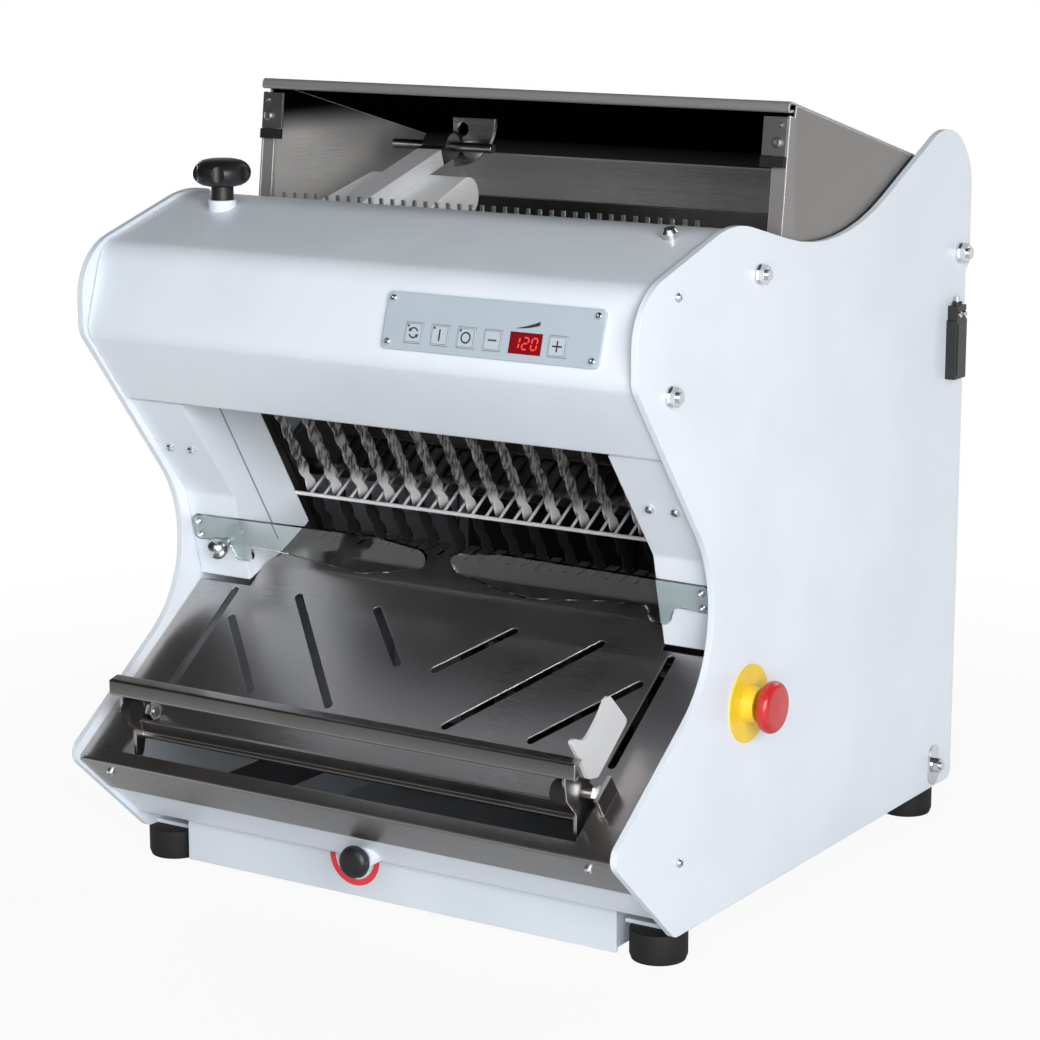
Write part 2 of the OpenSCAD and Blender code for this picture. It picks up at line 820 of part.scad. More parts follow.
// Safety switch of the lid on the right panel
switch_y = rear_y - 24.5;
switch_z = hinge_z - 103;
switch_w = 21;
switch_h = 49;
switch_d = 9;
switch_pin_d = 4.5;
module limit_switch() {
    color(rubber)
        translate([inner + panel_t, switch_y, switch_z])
            difference() {
                union() {
                    translate([0, -switch_w / 2, 0])
                        cube([switch_d, switch_w, switch_h]);
                    translate([switch_d - 0.01, -switch_w / 2 + 3, 3])
                        cube([0.8, switch_w - 6, switch_h - 6]);
                    translate([0, -switch_w / 2 + 2, switch_h])
                        cube([switch_d, switch_w - 4, 12]);
                    translate([switch_d / 2, 0, switch_h + 12])
                        cylinder(d = 8, h = 3);
                }
                translate([switch_d / 2, 0, switch_h + 4])
                    cylinder(d = switch_pin_d + 2 * run_fit, h = 12);
            }
}

module switch_plunger() {
    color("dimgray")
        translate([inner + panel_t + switch_d / 2, switch_y, switch_z + switch_h + 8])
            cylinder(d = switch_pin_d, h = 11);
}

module side_bolts() {
    color(steel) {
        both_sides()
            for (p = bolt_places)
                translate([inner + panel_t, p[0], p[1]])
                    rotate([0, 90, 0])
                        hex_bolt(8);
        both_sides()
            translate([inner + panel_t, plate_place[0], plate_place[1]])
                rotate([0, 90, 0]) {
                    linear_extrude(2)
                        polygon(rounded([[-17, -9, 8], [17, -9, 8], [17, 9, 8], [-17, 9, 8]]));
                    translate([0, 0, 2])
                        hex_bolt(7);
                }
        on_stop()
            both_sides()
                for (x = [stop_x - 8, stop_x + 7])
                    translate([x, stop_t, stop_m])
                        rotate([0, 90, 0])
                            difference() {
                                cylinder(d = 15, h = 5.5, $fn = 6);
                                translate([0, 0, -1])
                                    cylinder(d = stop_pin_d + 2 * run_fit, h = 8);
                            }
    }
}

module screws() {
    small = 7;
    post_line = unit(nose - waist_b);
    color(steel) {
        both_sides()
            for (p = small_places)
                translate([inner + panel_t, p[0], p[1]])
                    rotate([0, 90, 0])
                        screw_head(small, 3);
        for (y = [-4.5, 4.5])
            translate([inner + panel_t + switch_d, switch_y + y, switch_z + switch_h + 5])
                rotate([0, 90, 0])
                    screw_head(5, 2);
        both_sides()
            for (x = [post_x + 16, sheet_x - 12])
                on_line(post_knee + post_line * 54, post_line, x)
                    screw_head(small, 3);
        both_sides()
            for (up = [22, 34])
                on_guard(sheet_x - 10)
                    translate([0, up, guard_t])
                        screw_head(6, 2.5);
        both_sides()
            on_line(chute_lip + skirt_down * 15, -skirt_down, sheet_x - 24)
                screw_head(small, 3);
        for (x = [5, fascia_w - 5], up = [-1, 1])
            on_fascia(x, up * (fascia_h / 2 - 5), fascia_t)
                screw_head(5, 2);
        on_line(at_depth(hood_brow, hood_bump, nose_y + 111), hood_brow - hood_bump, inner - 33)
            mirror([0, 0, 1])
                screw_head(12, 7);
    }
}

foot_x = body_w / 2 - foot_d / 2;
module rubber_feet() {
    color(rubber)
        both_sides()
            for (y = [toe_y + 15, rear_y - 41])
                translate([foot_x, y, 0]) {
                    cylinder(d1 = foot_d - 3, d2 = foot_d, h = 4);
                    translate([0, 0, 4])
                        cylinder(d = foot_d, h = foot_h - 4);
                }
}

module lid_hinge_bolts() {
    color(steel)
        both_sides() {
            rod_along_x(hinge_d, inner - 16, inner + panel_t, hinge_y, hinge_z);
            translate([inner + panel_t, hinge_y, hinge_z])
                rotate([0, 90, 0])
                    hex_bolt(9);
        }
}

// Guide rods of the two blade frames and the blocks that hold them
module guide_rods() {
    color(steel)
        on_blades()
            both_sides()
                for (s = [-1, 1])
                    translate([rod_x, s * frame_y, rod_low])
                        cylinder(d = rod_d, h = rod_top - rod_low);
}

module rod_blocks() {
    block_h = 14;
    color("dimgray")
        on_blades()
            both_sides()
                for (z = [rod_low, rod_top - block_h])
                    difference() {
                        translate([rod_x - 8, -frame_y - 9, z])
                            cube([sheet_x + seam - rod_x + 8, 2 * frame_y + 18, block_h]);
                        for (s = [-1, 1])
                            translate([rod_x, s * frame_y, z - 1])
                                cylinder(d = rod_d + 0.04, h = block_h + 2);
                    }
}

// One blade frame: s is -1 for the front one and 1 for the rear one
module blade_frame(s) {
    bush_h = 30;
    yoke_r = cam_r + yoke_play;
    slot_half = cam_r + throw + 2;
    color("gainsboro")
        on_blades()
            difference() {
                union() {
                    bar([2 * frame_x1, frame_t, bar_h], [0, s * frame_y, blade_above + bar_h / 2]);
                    bar([2 * frame_x1, frame_t, bar_h], [0, s * frame_y, -blade_below - bar_h / 2]);
                    both_sides() {
                        bar([frame_x1 - frame_x0, frame_t, blade_above + blade_below],
                            [(frame_x0 + frame_x1) / 2, s * frame_y, (blade_above - blade_below) / 2]);
                        for (z = [-blade_below + bush_h / 2, blade_above - bush_h / 2])
                            bar([rod_x - frame_x1 + 8, frame_t, bush_h],
                                [(rod_x + frame_x1 + 8) / 2, s * frame_y, z]);
                    }
                    bar([yoke_t, frame_t, crank_drop - blade_below - bar_h + 1],
                        [s * cam_x, s * frame_y, -(crank_drop + blade_below + bar_h) / 2]);
                    bar([yoke_t, 2 * slot_half + 20, 2 * yoke_r + 18], [s * cam_x, 0, -crank_drop]);
                }
                bar([yoke_t + 2, 2 * slot_half, 2 * yoke_r], [s * cam_x, 0, -crank_drop]);
                both_sides()
                    translate([rod_x, s * frame_y, -blade_below - 5])
                        cylinder(d = rod_d + 2 * run_fit, h = blade_below + blade_above + 10);
            }
}

// Scalloped blades of one frame
module blade_row(s) {
    step = scallop / 5;
    count = floor((blade_above + blade_below) / step);
    bulge = (blade_w - blade_neck) / 2;
    z_list = [for (i = [0:count]) -blade_below + i * (blade_above + blade_below) / count];
    function reach(z) = blade_neck / 2 + bulge * abs(sin(180 * (z + blade_below) / scallop));
    edge = concat([for (z = z_list) [reach(z), z]],
        [for (i = [count:-1:0]) [-reach(z_list[i]), z_list[i]]]);
    color(steel)
        on_blades()
            for (i = [-blade_side:blade_side])
                if ((i % 2 == 0) == (s < 0))
                    across(blade_t, i * blade_pitch)
                        translate([s * frame_y, 0])
                            polygon(edge);
}

module front_blade_frame() {
    blade_frame(-1);
}

module rear_blade_frame() {
    blade_frame(1);
}

module front_blades() {
    blade_row(-1);
}

module rear_blades() {
    blade_row(1);
}

// Shaft with an eccentric cam for each frame, held in two stands
stand_x = 85;
module crankshaft() {
    color(steel)
        on_blades()
            union() {
                rod_along_x(shaft_d, -stand_x - 14, pulley_x + pulley_t / 2 + 6, 0, -crank_drop);
                for (s = [-1, 1])
                    rod_along_x(2 * cam_r, s * cam_x - cam_t / 2, s * cam_x + cam_t / 2,
                        -s * throw, -crank_drop);
            }
}

module crank_stands() {
    hub_r = 20;
    foot_z = pan_z + sheet_t + 0.1;
    color("dimgray")
        for (x = [-stand_x, stand_x])
            difference() {
                union() {
                    rod_along_x(2 * hub_r, x - 7, x + 7, crank_at[0], crank_at[1]);
                    bar([14, 30, crank_at[1] - foot_z], [x, crank_at[0], (crank_at[1] + foot_z) / 2]);
                    bar([30, 62, 6], [x, crank_at[0], foot_z + 3]);
                }
                rod_along_x(shaft_d + 2 * run_fit, x - 8, x + 8, crank_at[0], crank_at[1]);
            }
}

module pulley(r, bore, at) {
    translate([pulley_x, at[0], at[1]])
        rotate([0, 90, 0])
            difference() {
                union() {
                    cylinder(r = r, h = pulley_t, center = true);
                    for (z = [-1, 1])
                        translate([0, 0, z * (pulley_t / 2 + 1)])
                            cylinder(r = r + 3, h = 2, center = true);
                }
                cylinder(d = bore, h = pulley_t + 10, center = true);
            }
}

module driven_pulley() {
    color("dimgray")
        pulley(driven_r, shaft_d + 2 * run_fit, crank_at);
}

module motor_pulley() {
    color("dimgray")
        pulley(drive_r, motor_shaft_d + 2 * run_fit, motor_at);
}

module drive_belt() {
    belt_t = 2.5;
    color(rubber)
        across(pulley_t - 3, pulley_x)
            difference() {
                hull() {
                    translate(crank_at)
                        circle(r = driven_r + clear + belt_t);
                    translate(motor_at)
                        circle(r = drive_r + clear + belt_t);
                }
                hull() {
                    translate(crank_at)
                        circle(r = driven_r + clear);
                    translate(motor_at)
                        circle(r = drive_r + clear);
                }
            }
}

motor_l = 185;
motor_x1 = 100;
motor_x0 = motor_x1 - motor_l;
motor_cap = 22;
fin_pitch = 20;
fins = floor((motor_l - 45) / fin_pitch);
module motor() {
    color("slategray")
        union() {
            rod_along_x(2 * motor_r, motor_x0, motor_x1, motor_at[0], motor_at[1]);
            for (i = [0:fins - 1])
                rod_along_x(2 * motor_r + 8, motor_x0 + 30 + i * fin_pitch, motor_x0 + 36 + i * fin_pitch,
                    motor_at[0], motor_at[1]);
            rod_along_x(2 * motor_r - 24, motor_x0 - motor_cap, motor_x0 + 1, motor_at[0], motor_at[1]);
            rod_along_x(60, motor_x1 - 1, motor_x1 + 12, motor_at[0], motor_at[1]);
            rod_along_x(motor_shaft_d, motor_x1, pulley_x + pulley_t / 2 + 4, motor_at[0], motor_at[1]);
        }
}

module motor_cradle() {
    plate_t = 5;
    cheek_h = 36;
    cheek_gap = (fins - 1) * fin_pitch;
    foot_z = pan_z + sheet_t + 0.1;
    color("dimgray")
        union() {
            bar([cheek_gap + 30, 2 * motor_r + 6, plate_t],
                [motor_x0 + 32 + cheek_gap / 2, motor_at[0], foot_z + plate_t / 2]);
            for (x = [motor_x0 + 23, motor_x0 + 23 + cheek_gap])
                difference() {
                    bar([6, 1.6 * motor_r, cheek_h], [x, motor_at[0], foot_z + plate_t - 0.5 + cheek_h / 2]);
                    rod_along_x(2 * motor_r + 0.2, x - 7, x + 13, motor_at[0], motor_at[1]);
                }
        }
}

module control_box() {
    box_side = 14;
    box_d = 110;
    box_h = 90;
    box_w = motor_x0 - motor_cap - 23.6 + sheet_x - box_side;
    foot_z = pan_z + sheet_t + 0.1;
    color("lightgray")
        translate([-sheet_x + box_side, motor_at[0] - box_d / 2, foot_z])
            difference() {
                cube([box_w, box_d, box_h]);
                for (i = [0:5])
                    translate([box_w * 0.14, 16 + i * 14, box_h - 6])
                        cube([box_w * 0.72, 5, 8]);
            }
}

// Hopper lid
module lid_shell() {
    hem = lid_lip + roof_in * lid_hem;
    color(steel)
        folded(concat([[lid_bends[3][0], lid_bends[3][1], 0]],
            [for (i = [2:-1:0]) [lid_bends[i][0], lid_bends[i][1], 8]],
            [[lid_lip[0], lid_lip[1], 4], [hem[0], hem[1], 3], [hem[0] + lid_hem_fold, hem[1] + 1, 0]]),
            steel_t, 2 * lid_x);
}

module lid_walls() {
    rear_in = [for (b = lid_bends) b + lid_wall_in * unit(horn_mid - b)];
    notch_in = lid_lip + roof * (lid_hem_fold + 3);
    notch_a = notch_in + roof_in * lid_wall_in;
    notch_b = notch_in + roof_in * (lid_hem + 0.6);
    flange_l = norm(lid_notch_low - lid_front_low) - 14;
    boss_r = hinge_d;
    color(steel)
        both_sides()
            difference() {
                union() {
                    across(steel_t, lid_x - steel_t / 2)
                        polygon(rounded([[notch_a[0], notch_a[1], 0], [notch_b[0], notch_b[1], 0],
                            [lid_notch_low[0], lid_notch_low[1], 0],
                            [lid_front_low[0], lid_front_low[1], 20],
                            [hinge_y - 20, hinge_z - 14, 12], [hinge_y + 6, hinge_z - 14, 8],
                            [rear_in[3][0], rear_in[3][1], 0], [rear_in[2][0], rear_in[2][1], 9],
                            [rear_in[1][0], rear_in[1][1], 9], [rear_in[0][0], rear_in[0][1], 9]]));
                    rod_along_x(2 * boss_r, lid_x - 12, lid_x - 1, hinge_y - 1, hinge_z);
                    on_line(lid_front_low, lid_edge, lid_x - 6.5)
                        bar([12, flange_l, steel_t], [0, flange_l / 2 + 13, -steel_t / 2 - 0.2]);
                }
                rod_along_x(hinge_d + 2 * run_fit, lid_x - 20, lid_x + 5, hinge_y, hinge_z);
            }
}

// Corner plates on the lid's front edges, with rubber under them
module on_lid_edge(from_top) {
    on_line(lid_front_low + lid_edge * (lid_edge_l - from_top), lid_edge, lid_x - 11)
        translate([0, 0, 0.1])
            children();
}

bracket_w = 20;
bracket_h = 29;
module lid_brackets() {
    bracket_t = 2;
    color("gainsboro")
        both_sides() {
            on_lid_edge(10 + bracket_h / 2)
                bar([bracket_w, bracket_h, bracket_t], [0, 0, bracket_t / 2]);
            on_lid_edge(bracket_h)
                translate([3, 0, bracket_t])
                    screw_head(8, 3);
            on_lid_edge(16)
                translate([5, 0, bracket_t])
                    screw_head(4, 2);
        }
}

module lid_buffers() {
    color(rubber)
        both_sides()
            on_lid_edge(10 + bracket_h + 4.5)
                bar([bracket_w, 8, 4], [0, 0, 2]);
}

// Quarter-round bracket under the lid's roof, with a lug for the pusher's rod
hub_d = 22;
module pusher_bracket() {
    plate_t = 4;
    plate_r = 42;
    rod_y = pusher_y;
    plate_y = rod_y + hub_d / 2 + 1 + plate_t / 2;
    roof_z = at_depth(lid_lip, lid_bends[0], plate_y + plate_t / 2)[1] - steel_t / roof[0] - 0.1;
    color(steel)
        union() {
            translate([pusher_x + 4, plate_y + plate_t / 2, roof_z])
                rotate([90, 0, 0])
                    linear_extrude(plate_t)
                        difference() {
                            intersection() {
                                circle(r = plate_r);
                                translate([0, -plate_r])
                                    square([plate_r, plate_r]);
                            }
                            translate([9.5, -9.5])
                                circle(d = 12);
                        }
            rod_along_x(pusher_rod_d, pusher_x - 48, pusher_x + 52, rod_y, pusher_z);
            bar([6, plate_y - rod_y, pusher_rod_d], [pusher_x + 19, (plate_y + rod_y) / 2, pusher_z]);
        }
}

module on_pusher() {
    translate([pusher_x, pusher_y, pusher_z])
        rotate([pusher_slope, 0, 0])
            children();
}

module pusher_hub() {
    color(rubber)
        on_pusher()
            difference() {
                union() {
                    rod_along_x(hub_d, -12, 12, 0, 0);
                    bar([24, 16, 14], [0, -10, -3]);
                }
                rod_along_x(pusher_rod_d + 2 * run_fit, -13, 13, 0, 0);
            }
}

module pusher_arm() {
    color(steel)
        on_pusher()
            difference() {
                bar([24, pusher_l - 18, 14], [0, -(pusher_l + 18) / 2, -3]);
                bar([20, pusher_l, 12], [0, -(pusher_l + 18) / 2, -6]);
            }
}

module pusher_pad() {
    color([0.92, 0.95, 0.97])
        on_pusher()
            hull() {
                translate([0, -42, -27])
                    rotate([0, 90, 0])
                        cylinder(r = 16.5, h = 96, center = true, $fn = 32);
                translate([0, -pusher_l + 12, -19])
                    rotate([0, 90, 0])
                        cylinder(r = 8.5, h = 116, center = true, $fn = 32);
            }
}

// Crumb drawer, open at the top, hung on the runners by its side flanges
module crumb_drawer() {
    box_x = drawer_x - 5;
    h = drawer_top - drawer_lift;
    mid_z = (drawer_top + drawer_lift) / 2;
    color(paint)
        union() {
            difference() {
                bar([2 * box_x, drawer_l, h], [0, drawer_front + drawer_l / 2, mid_z]);
                bar([2 * box_x - 2 * steel_t, drawer_l - 2 * sheet_t, h],
                    [0, drawer_front + drawer_l / 2, mid_z + steel_t]);
            }
            bar([2 * drawer_x, sheet_t, h], [0, drawer_front + sheet_t / 2, mid_z]);
            both_sides()
                bar([drawer_x - box_x + 0.5, drawer_l - 30, drawer_top - foot_h - 3.5 - sheet_t - 0.2],
                    [(drawer_x + box_x - 0.5) / 2, drawer_front + 30 + (drawer_l - 30) / 2,
                    (drawer_top + foot_h + 3.5 + sheet_t + 0.2) / 2]);
        }
}

module drawer_knob() {
    color(rubber)
        on_drawer_knob(-drawer_boss_l - clear) {
            translate([0, 0, -15])
                cylinder(d = drawer_pin_d, h = 16);
            cylinder(d = 13, h = 6);
            translate([0, 0, 4])
                lobed_grip(26, 13, 5);
        }
}

// Folding stop at the foot of the chute: its lower strip passes through the chute's window
module stop_frame() {
    rail_low = [28.5, 42.5];
    rail_top = [36.5, 53.5];
    strip_top = [33, 10.5];
    strip_low = [30, -3];
    arm = [[stop_t + 9, stop_m + 10, 3], [rail_top[0] + 6, rail_top[1] - 3, 2],
        [rail_low[0] + 1, rail_low[1] - 1, 2],
        [22, 26, 8], [25, 8, 6], [13, -9, 3], [19, -15, 3], [34, -2, 6], [stop_t, stop_m - 5, 2]];
    color(steel)
        on_stop()
            union() {
                folded([[rail_top[0] + 9, rail_top[1] - 4, 0], [rail_top[0], rail_top[1], 2],
                    [rail_low[0], rail_low[1], 2], [rail_low[0] + 6, rail_low[1] - 2, 0]],
                    steel_t, 2 * stop_x + 20);
                folded([[strip_top[0], strip_top[1], 0], [strip_low[0], strip_low[1], 0]],
                    steel_t, 2 * stop_x);
                rod_along_x(5, -stop_x, stop_x, strip_low[0], strip_low[1]);
                both_sides()
                    difference() {
                        union() {
                            across(stop_arm_t, stop_x)
                                polygon(rounded(arm));
                            rod_along_x(2 * stop_hub_r, stop_x - stop_arm_t / 2, stop_x + stop_arm_t / 2,
                                stop_t, stop_m);
                        }
                        rod_along_x(stop_pin_d + 2 * run_fit, stop_x - 5, stop_x + 5, stop_t, stop_m);
                    }
            }
}

module stop_buffers() {
    color(rubber)
        on_stop()
            both_sides()
                rod_along_x(18, stop_x - stop_arm_t / 2 - 9.2, stop_x - stop_arm_t / 2 - 0.2, 28.7, 28.6);
}

module stop_lever() {
    lever_t = 3;
    plate = [[111, 14, 4], [104, 52, 6], [84, 48, 12], [62, 47, 14], [54, 60, 5], [48, 64, 3], [49, 40, 6],
        [48, 22, 5], [58, 12, 6]];
    color([0.8, 0.83, 0.85, 0.6])
        on_stop()
            across(lever_t, stop_x + (stop_arm_t + lever_t) / 2 + 0.2)
                polygon(rounded(plate));
}

left_side_panel();
right_side_panel();
base_pan();
rear_cover();
front_hood();
front_apron();
side_posts();
outfeed_chute();
loaf_grid();
infeed_bed();
infeed_comb();
clear_guards();
guard_knob();
control_panel();
display_window();
e_stop_disc();
e_stop_collar();
limit_switch();
side_bolts();
screws();
rubber_feet();
lid_hinge_bolts();
guide_rods();
rod_blocks();
crank_stands();
motor();
motor_cradle();
drive_belt();
control_box();
cable_gland();
lid_shell();
lid_walls();
lid_brackets();
lid_buffers();
pusher_bracket();
pusher_hub();
pusher_arm();
pusher_pad();
front_blade_frame();
front_blades();
rear_blade_frame();
rear_blades();
crankshaft();
driven_pulley();
motor_pulley();
crumb_drawer();
drawer_knob();
hood_knob();
stop_frame();
stop_buffers();
stop_lever();
mode_key();
start_key();
stop_key();
minus_key();
plus_key();
e_stop_plunger();
e_stop_head();
switch_plunger();
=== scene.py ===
# %% [markdown]
# # Bench bread slicer
#
# A white sheet-metal machine with a stainless chute, two rows of scalloped blades and a hinged
# steel lid. The solids arrive finished in size and place, so this lesson dresses them: it gives
# every surface a procedural finish, adds what is printed on the machine, and sets up a bright
# studio round it. Read it from top to bottom; each cell prints what it made.

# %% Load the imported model
import json
import math

import bmesh
import bpy
from mathutils import Matrix, Vector

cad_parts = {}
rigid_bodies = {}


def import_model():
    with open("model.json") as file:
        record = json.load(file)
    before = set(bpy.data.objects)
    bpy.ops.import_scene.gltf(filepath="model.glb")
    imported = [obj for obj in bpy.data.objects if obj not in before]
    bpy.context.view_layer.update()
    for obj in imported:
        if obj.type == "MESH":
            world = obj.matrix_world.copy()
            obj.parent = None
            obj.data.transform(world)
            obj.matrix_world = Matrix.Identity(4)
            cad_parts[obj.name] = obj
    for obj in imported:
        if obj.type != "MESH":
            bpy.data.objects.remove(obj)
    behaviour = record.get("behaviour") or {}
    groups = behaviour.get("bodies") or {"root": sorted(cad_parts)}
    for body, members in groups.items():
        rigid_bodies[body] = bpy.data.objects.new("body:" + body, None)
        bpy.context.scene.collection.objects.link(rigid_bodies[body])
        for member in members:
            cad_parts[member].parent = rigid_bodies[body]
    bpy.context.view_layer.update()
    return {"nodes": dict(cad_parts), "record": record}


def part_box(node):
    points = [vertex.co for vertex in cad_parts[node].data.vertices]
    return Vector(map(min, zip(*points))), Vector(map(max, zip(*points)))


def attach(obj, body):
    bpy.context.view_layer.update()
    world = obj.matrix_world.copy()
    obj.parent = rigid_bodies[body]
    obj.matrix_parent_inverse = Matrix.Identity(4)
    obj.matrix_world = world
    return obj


for leftover in list(bpy.data.objects):
    bpy.data.objects.remove(leftover)
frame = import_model()
MM = 0.001
nodes = frame["nodes"]
slot_of = {part["node"]: part["material_slot"] for part in frame["record"]["subparts"]}

# %% [markdown]
# ## The camera
#
# The picture was taken from the front right, a little above the hood, with a long lens. The
# place and the lens were found by fitting known corners of the machine, so they are plain
# numbers here. Depth of field stays off, because a catalogue picture is sharp all over.

# %% Camera
EYE = Vector((1.27223, -2.01221, 0.78418))
AZIMUTH = 32.559
ELEVATION = 12.171
LENS = 103.64

camera_data = bpy.data.cameras.new("photo_camera")
camera_data.lens = LENS
camera_data.sensor_width = 36
camera = bpy.data.objects.new("photo_camera", camera_data)
camera.location = EYE
camera.rotation_euler = (math.radians(90 - ELEVATION), 0, math.radians(AZIMUTH))
bpy.context.scene.collection.objects.link(camera)
bpy.context.scene.camera = camera
bpy.context.scene.view_settings.view_transform = "Standard"
print("camera at", tuple(round(v, 3) for v in camera.location))

# %% [markdown]
# ## Writing shaders as sums
#
# A finish is a small graph of nodes. Wiring one by hand takes many lines, so the class below
# wraps a socket and lets plus, minus, times and powers add the Math nodes. A number on the left
# works too, as in `1 - mask`. Every other kind of node comes from one method, which takes the
# node's settings first and then what goes into its sockets.

# %% A socket to calculate with
class Wire:
    """An output of a shader graph; arithmetic on it adds Math nodes."""

    def __init__(self, finish, socket):
        self.finish = finish
        self.socket = socket

    def math(self, operation, first, second=0.0):
        return self.finish.node("ShaderNodeMath", {"operation": operation}, {0: first, 1: second})

    def __add__(self, other):
        return self.math("ADD", self, other)

    def __radd__(self, other):
        return self.math("ADD", other, self)

    def __sub__(self, other):
        return self.math("SUBTRACT", self, other)

    def __rsub__(self, other):
        return self.math("SUBTRACT", other, self)

    def __mul__(self, other):
        return self.math("MULTIPLY", self, other)

    def __rmul__(self, other):
        return self.math("MULTIPLY", other, self)

    def __pow__(self, other):
        return self.math("POWER", self, other)

    def larger(self, other):
        return self.math("MAXIMUM", self, other)


# %% A finish and its nodes
class Finish:
    """One material, built from nodes on places in metres."""

    def __init__(self, name, **constants):
        self.material = bpy.data.materials.new(name)
        self.material.use_nodes = True
        self.tree = self.material.node_tree
        self.shader = self.tree.nodes["Principled BSDF"]
        for socket, value in constants.items():
            self.set(socket.replace("_", " ").title().replace("Ior", "IOR"), value)

    def node(self, kind, settings=None, sockets=None, out=0):
        made = self.tree.nodes.new(kind)
        for name, value in (settings or {}).items():
            setattr(made, name, value)
        for name, value in (sockets or {}).items():
            self.feed(made.inputs[name], value)
        return Wire(self, made.outputs[out])

    def feed(self, socket, value):
        if isinstance(value, Wire):
            self.tree.links.new(value.socket, socket)
        else:
            socket.default_value = value

    def set(self, socket, value):
        if socket == "Base Color" and not isinstance(value, Wire):
            value = (*value, 1)
        self.feed(self.shader.inputs[socket], value)

    def node_to_surface(self, result):
        ending = self.tree.nodes["Material Output"]
        self.tree.links.new(result.socket, ending.inputs["Surface"])

    def place(self):
        return self.node("ShaderNodeTexCoord", out="Object")

    def split(self, vector):
        parts = self.node("ShaderNodeSeparateXYZ", sockets={0: vector}).socket.node
        return [Wire(self, output) for output in parts.outputs]

    def axes(self):
        return self.split(self.place())

    def facing(self):
        return self.split(self.node("ShaderNodeNewGeometry", out="Normal"))

    def noise(self, scale, detail=3, stretch=(1, 1, 1), roughness=0.5):
        spread = self.node("ShaderNodeMapping", sockets={"Vector": self.place(), "Scale": stretch})
        return self.node("ShaderNodeTexNoise", sockets={
            "Vector": spread, "Scale": scale, "Detail": detail, "Roughness": roughness})

    def ramp(self, value, low, high, to_low=0.0, to_high=1.0):
        return self.node("ShaderNodeMapRange", {"interpolation_type": "SMOOTHSTEP"}, {
            "Value": value, "From Min": low, "From Max": high, "To Min": to_low, "To Max": to_high})

    def mix(self, factor, first, second):
        ends = [end if isinstance(end, Wire) else (*end, 1) for end in (first, second)]
        return self.node("ShaderNodeMix", {"data_type": "RGBA"}, {0: factor, 6: ends[0], 7: ends[1]}, out=2)

    def rounded_edges(self, radius):
        return self.node("ShaderNodeBevel", {"samples": 4}, {"Radius": radius})

    def edges(self, radius):
        """Mask of the sharp edges, where the rounded normal leaves the flat one."""
        flat = self.node("ShaderNodeNewGeometry", out="Normal")
        agree = self.node("ShaderNodeVectorMath", {"operation": "DOT_PRODUCT"},
                          {0: self.rounded_edges(radius), 1: flat}, out="Value")
        return self.ramp(agree, 0.85, 0.99, 1, 0)

    def bump(self, height, distance, strength=1.0, normal=None):
        sockets = {"Height": height, "Distance": distance, "Strength": strength}
        if normal:
            sockets["Normal"] = normal
        self.set("Normal", self.node("ShaderNodeBump", sockets=sockets))


print("shader tools ready")

# %% [markdown]
# ## White powder coat
#
# Panels, hood, posts, apron and drawer are steel sheet under a baked powder. Close up it has a
# faint orange peel, because the powder flows while it melts. From a step away the white is cool
# and a little uneven. The peel is a fine noise used as bump and as a ripple in the gloss; edges
# are softened by the Bevel node. The picture is dark behind the blades, so the inner faces of the
# rear cover and the apron get a painted shade, a dark tone that is assumed; the normal's Y tells
# inside from outside. The drawer's white is dimmed too, a painted shade under the lip above it.

# %% White powder coat
COOL_WHITES = ((0.765, 0.825, 0.9), (0.81, 0.865, 0.935))
PAINTED_SHADE_INSIDE = (0.03, 0.03, 0.032)


def white_powder_coat(name="white_powder_coat", painted_shade_side=0, painted_shade_factor=1.0):
    coat = Finish(name, coat_weight=0.3, coat_roughness=0.16)
    peel = coat.noise(850, detail=2)
    cloud = coat.ramp(coat.noise(9), 0.35, 0.65)
    # A factor below 1 dims the whites: painted shade.
    tone = coat.mix(cloud, *[[painted_shade_factor * value for value in white] for white in COOL_WHITES])
    # Faces turned the given way along Y get a dark tone: painted shade for the inside of the machine.
    if painted_shade_side:
        tone = coat.mix(coat.ramp(painted_shade_side * coat.facing()[1], 0.0, 0.2), tone, PAINTED_SHADE_INSIDE)
    coat.set("Base Color", tone)
    coat.set("Roughness", 0.36 + 0.1 * peel)
    coat.bump(peel, 0.00002, 0.5, coat.rounded_edges(0.0009))
    return coat.material


print("made", white_powder_coat.__name__)

# %% [markdown]
# ## Brushed stainless
#
# Chute, lid, stop and hopper floor are bare stainless with a brushed face. The brush leaves
# hair-fine lines one way, so the noise is drawn out along that way, and the reflection breaks
# up across it. Wiping leaves cloudy patches, which change the gloss and hardly the colour. Sharp
# edges get a pale painted highlight, and the chute's faces that do not look up a painted shade.
# Inside the lid the tones follow the picture and are painted light and shade: a black painted
# shadow under the roof, pale and dull painted light lower down, and a painted shade along the
# front lip; outside, its upward faces are painted paler. The Geometry node's normal, which turns
# with the lid, and the place on the solid tell those faces apart.

# %% Brushed stainless
ALONG_WIDTH = (25, 2600, 2600)
ALONG_DEPTH = (2600, 25, 2600)
STEEL = (0.58, 0.55, 0.535)
PAINTED_EDGE_HIGHLIGHT = (0.93, 0.91, 0.9)
# Tones of the lid's painted light and shade.
LID_TOP_PAINTED_LIGHT = (0.62, 0.6, 0.59)
LID_HOLLOW_PAINTED_LIGHT = (0.6, 0.59, 0.58)
LID_ROOF_PAINTED_SHADOW = (0.002, 0.0018, 0.0018)
LID_LIP_PAINTED_SHADE = (0.3, 0.29, 0.285)
HOLLOW_TOP = (0.57, 0.595)
LIP_DEPTH = (-0.024, -0.018)


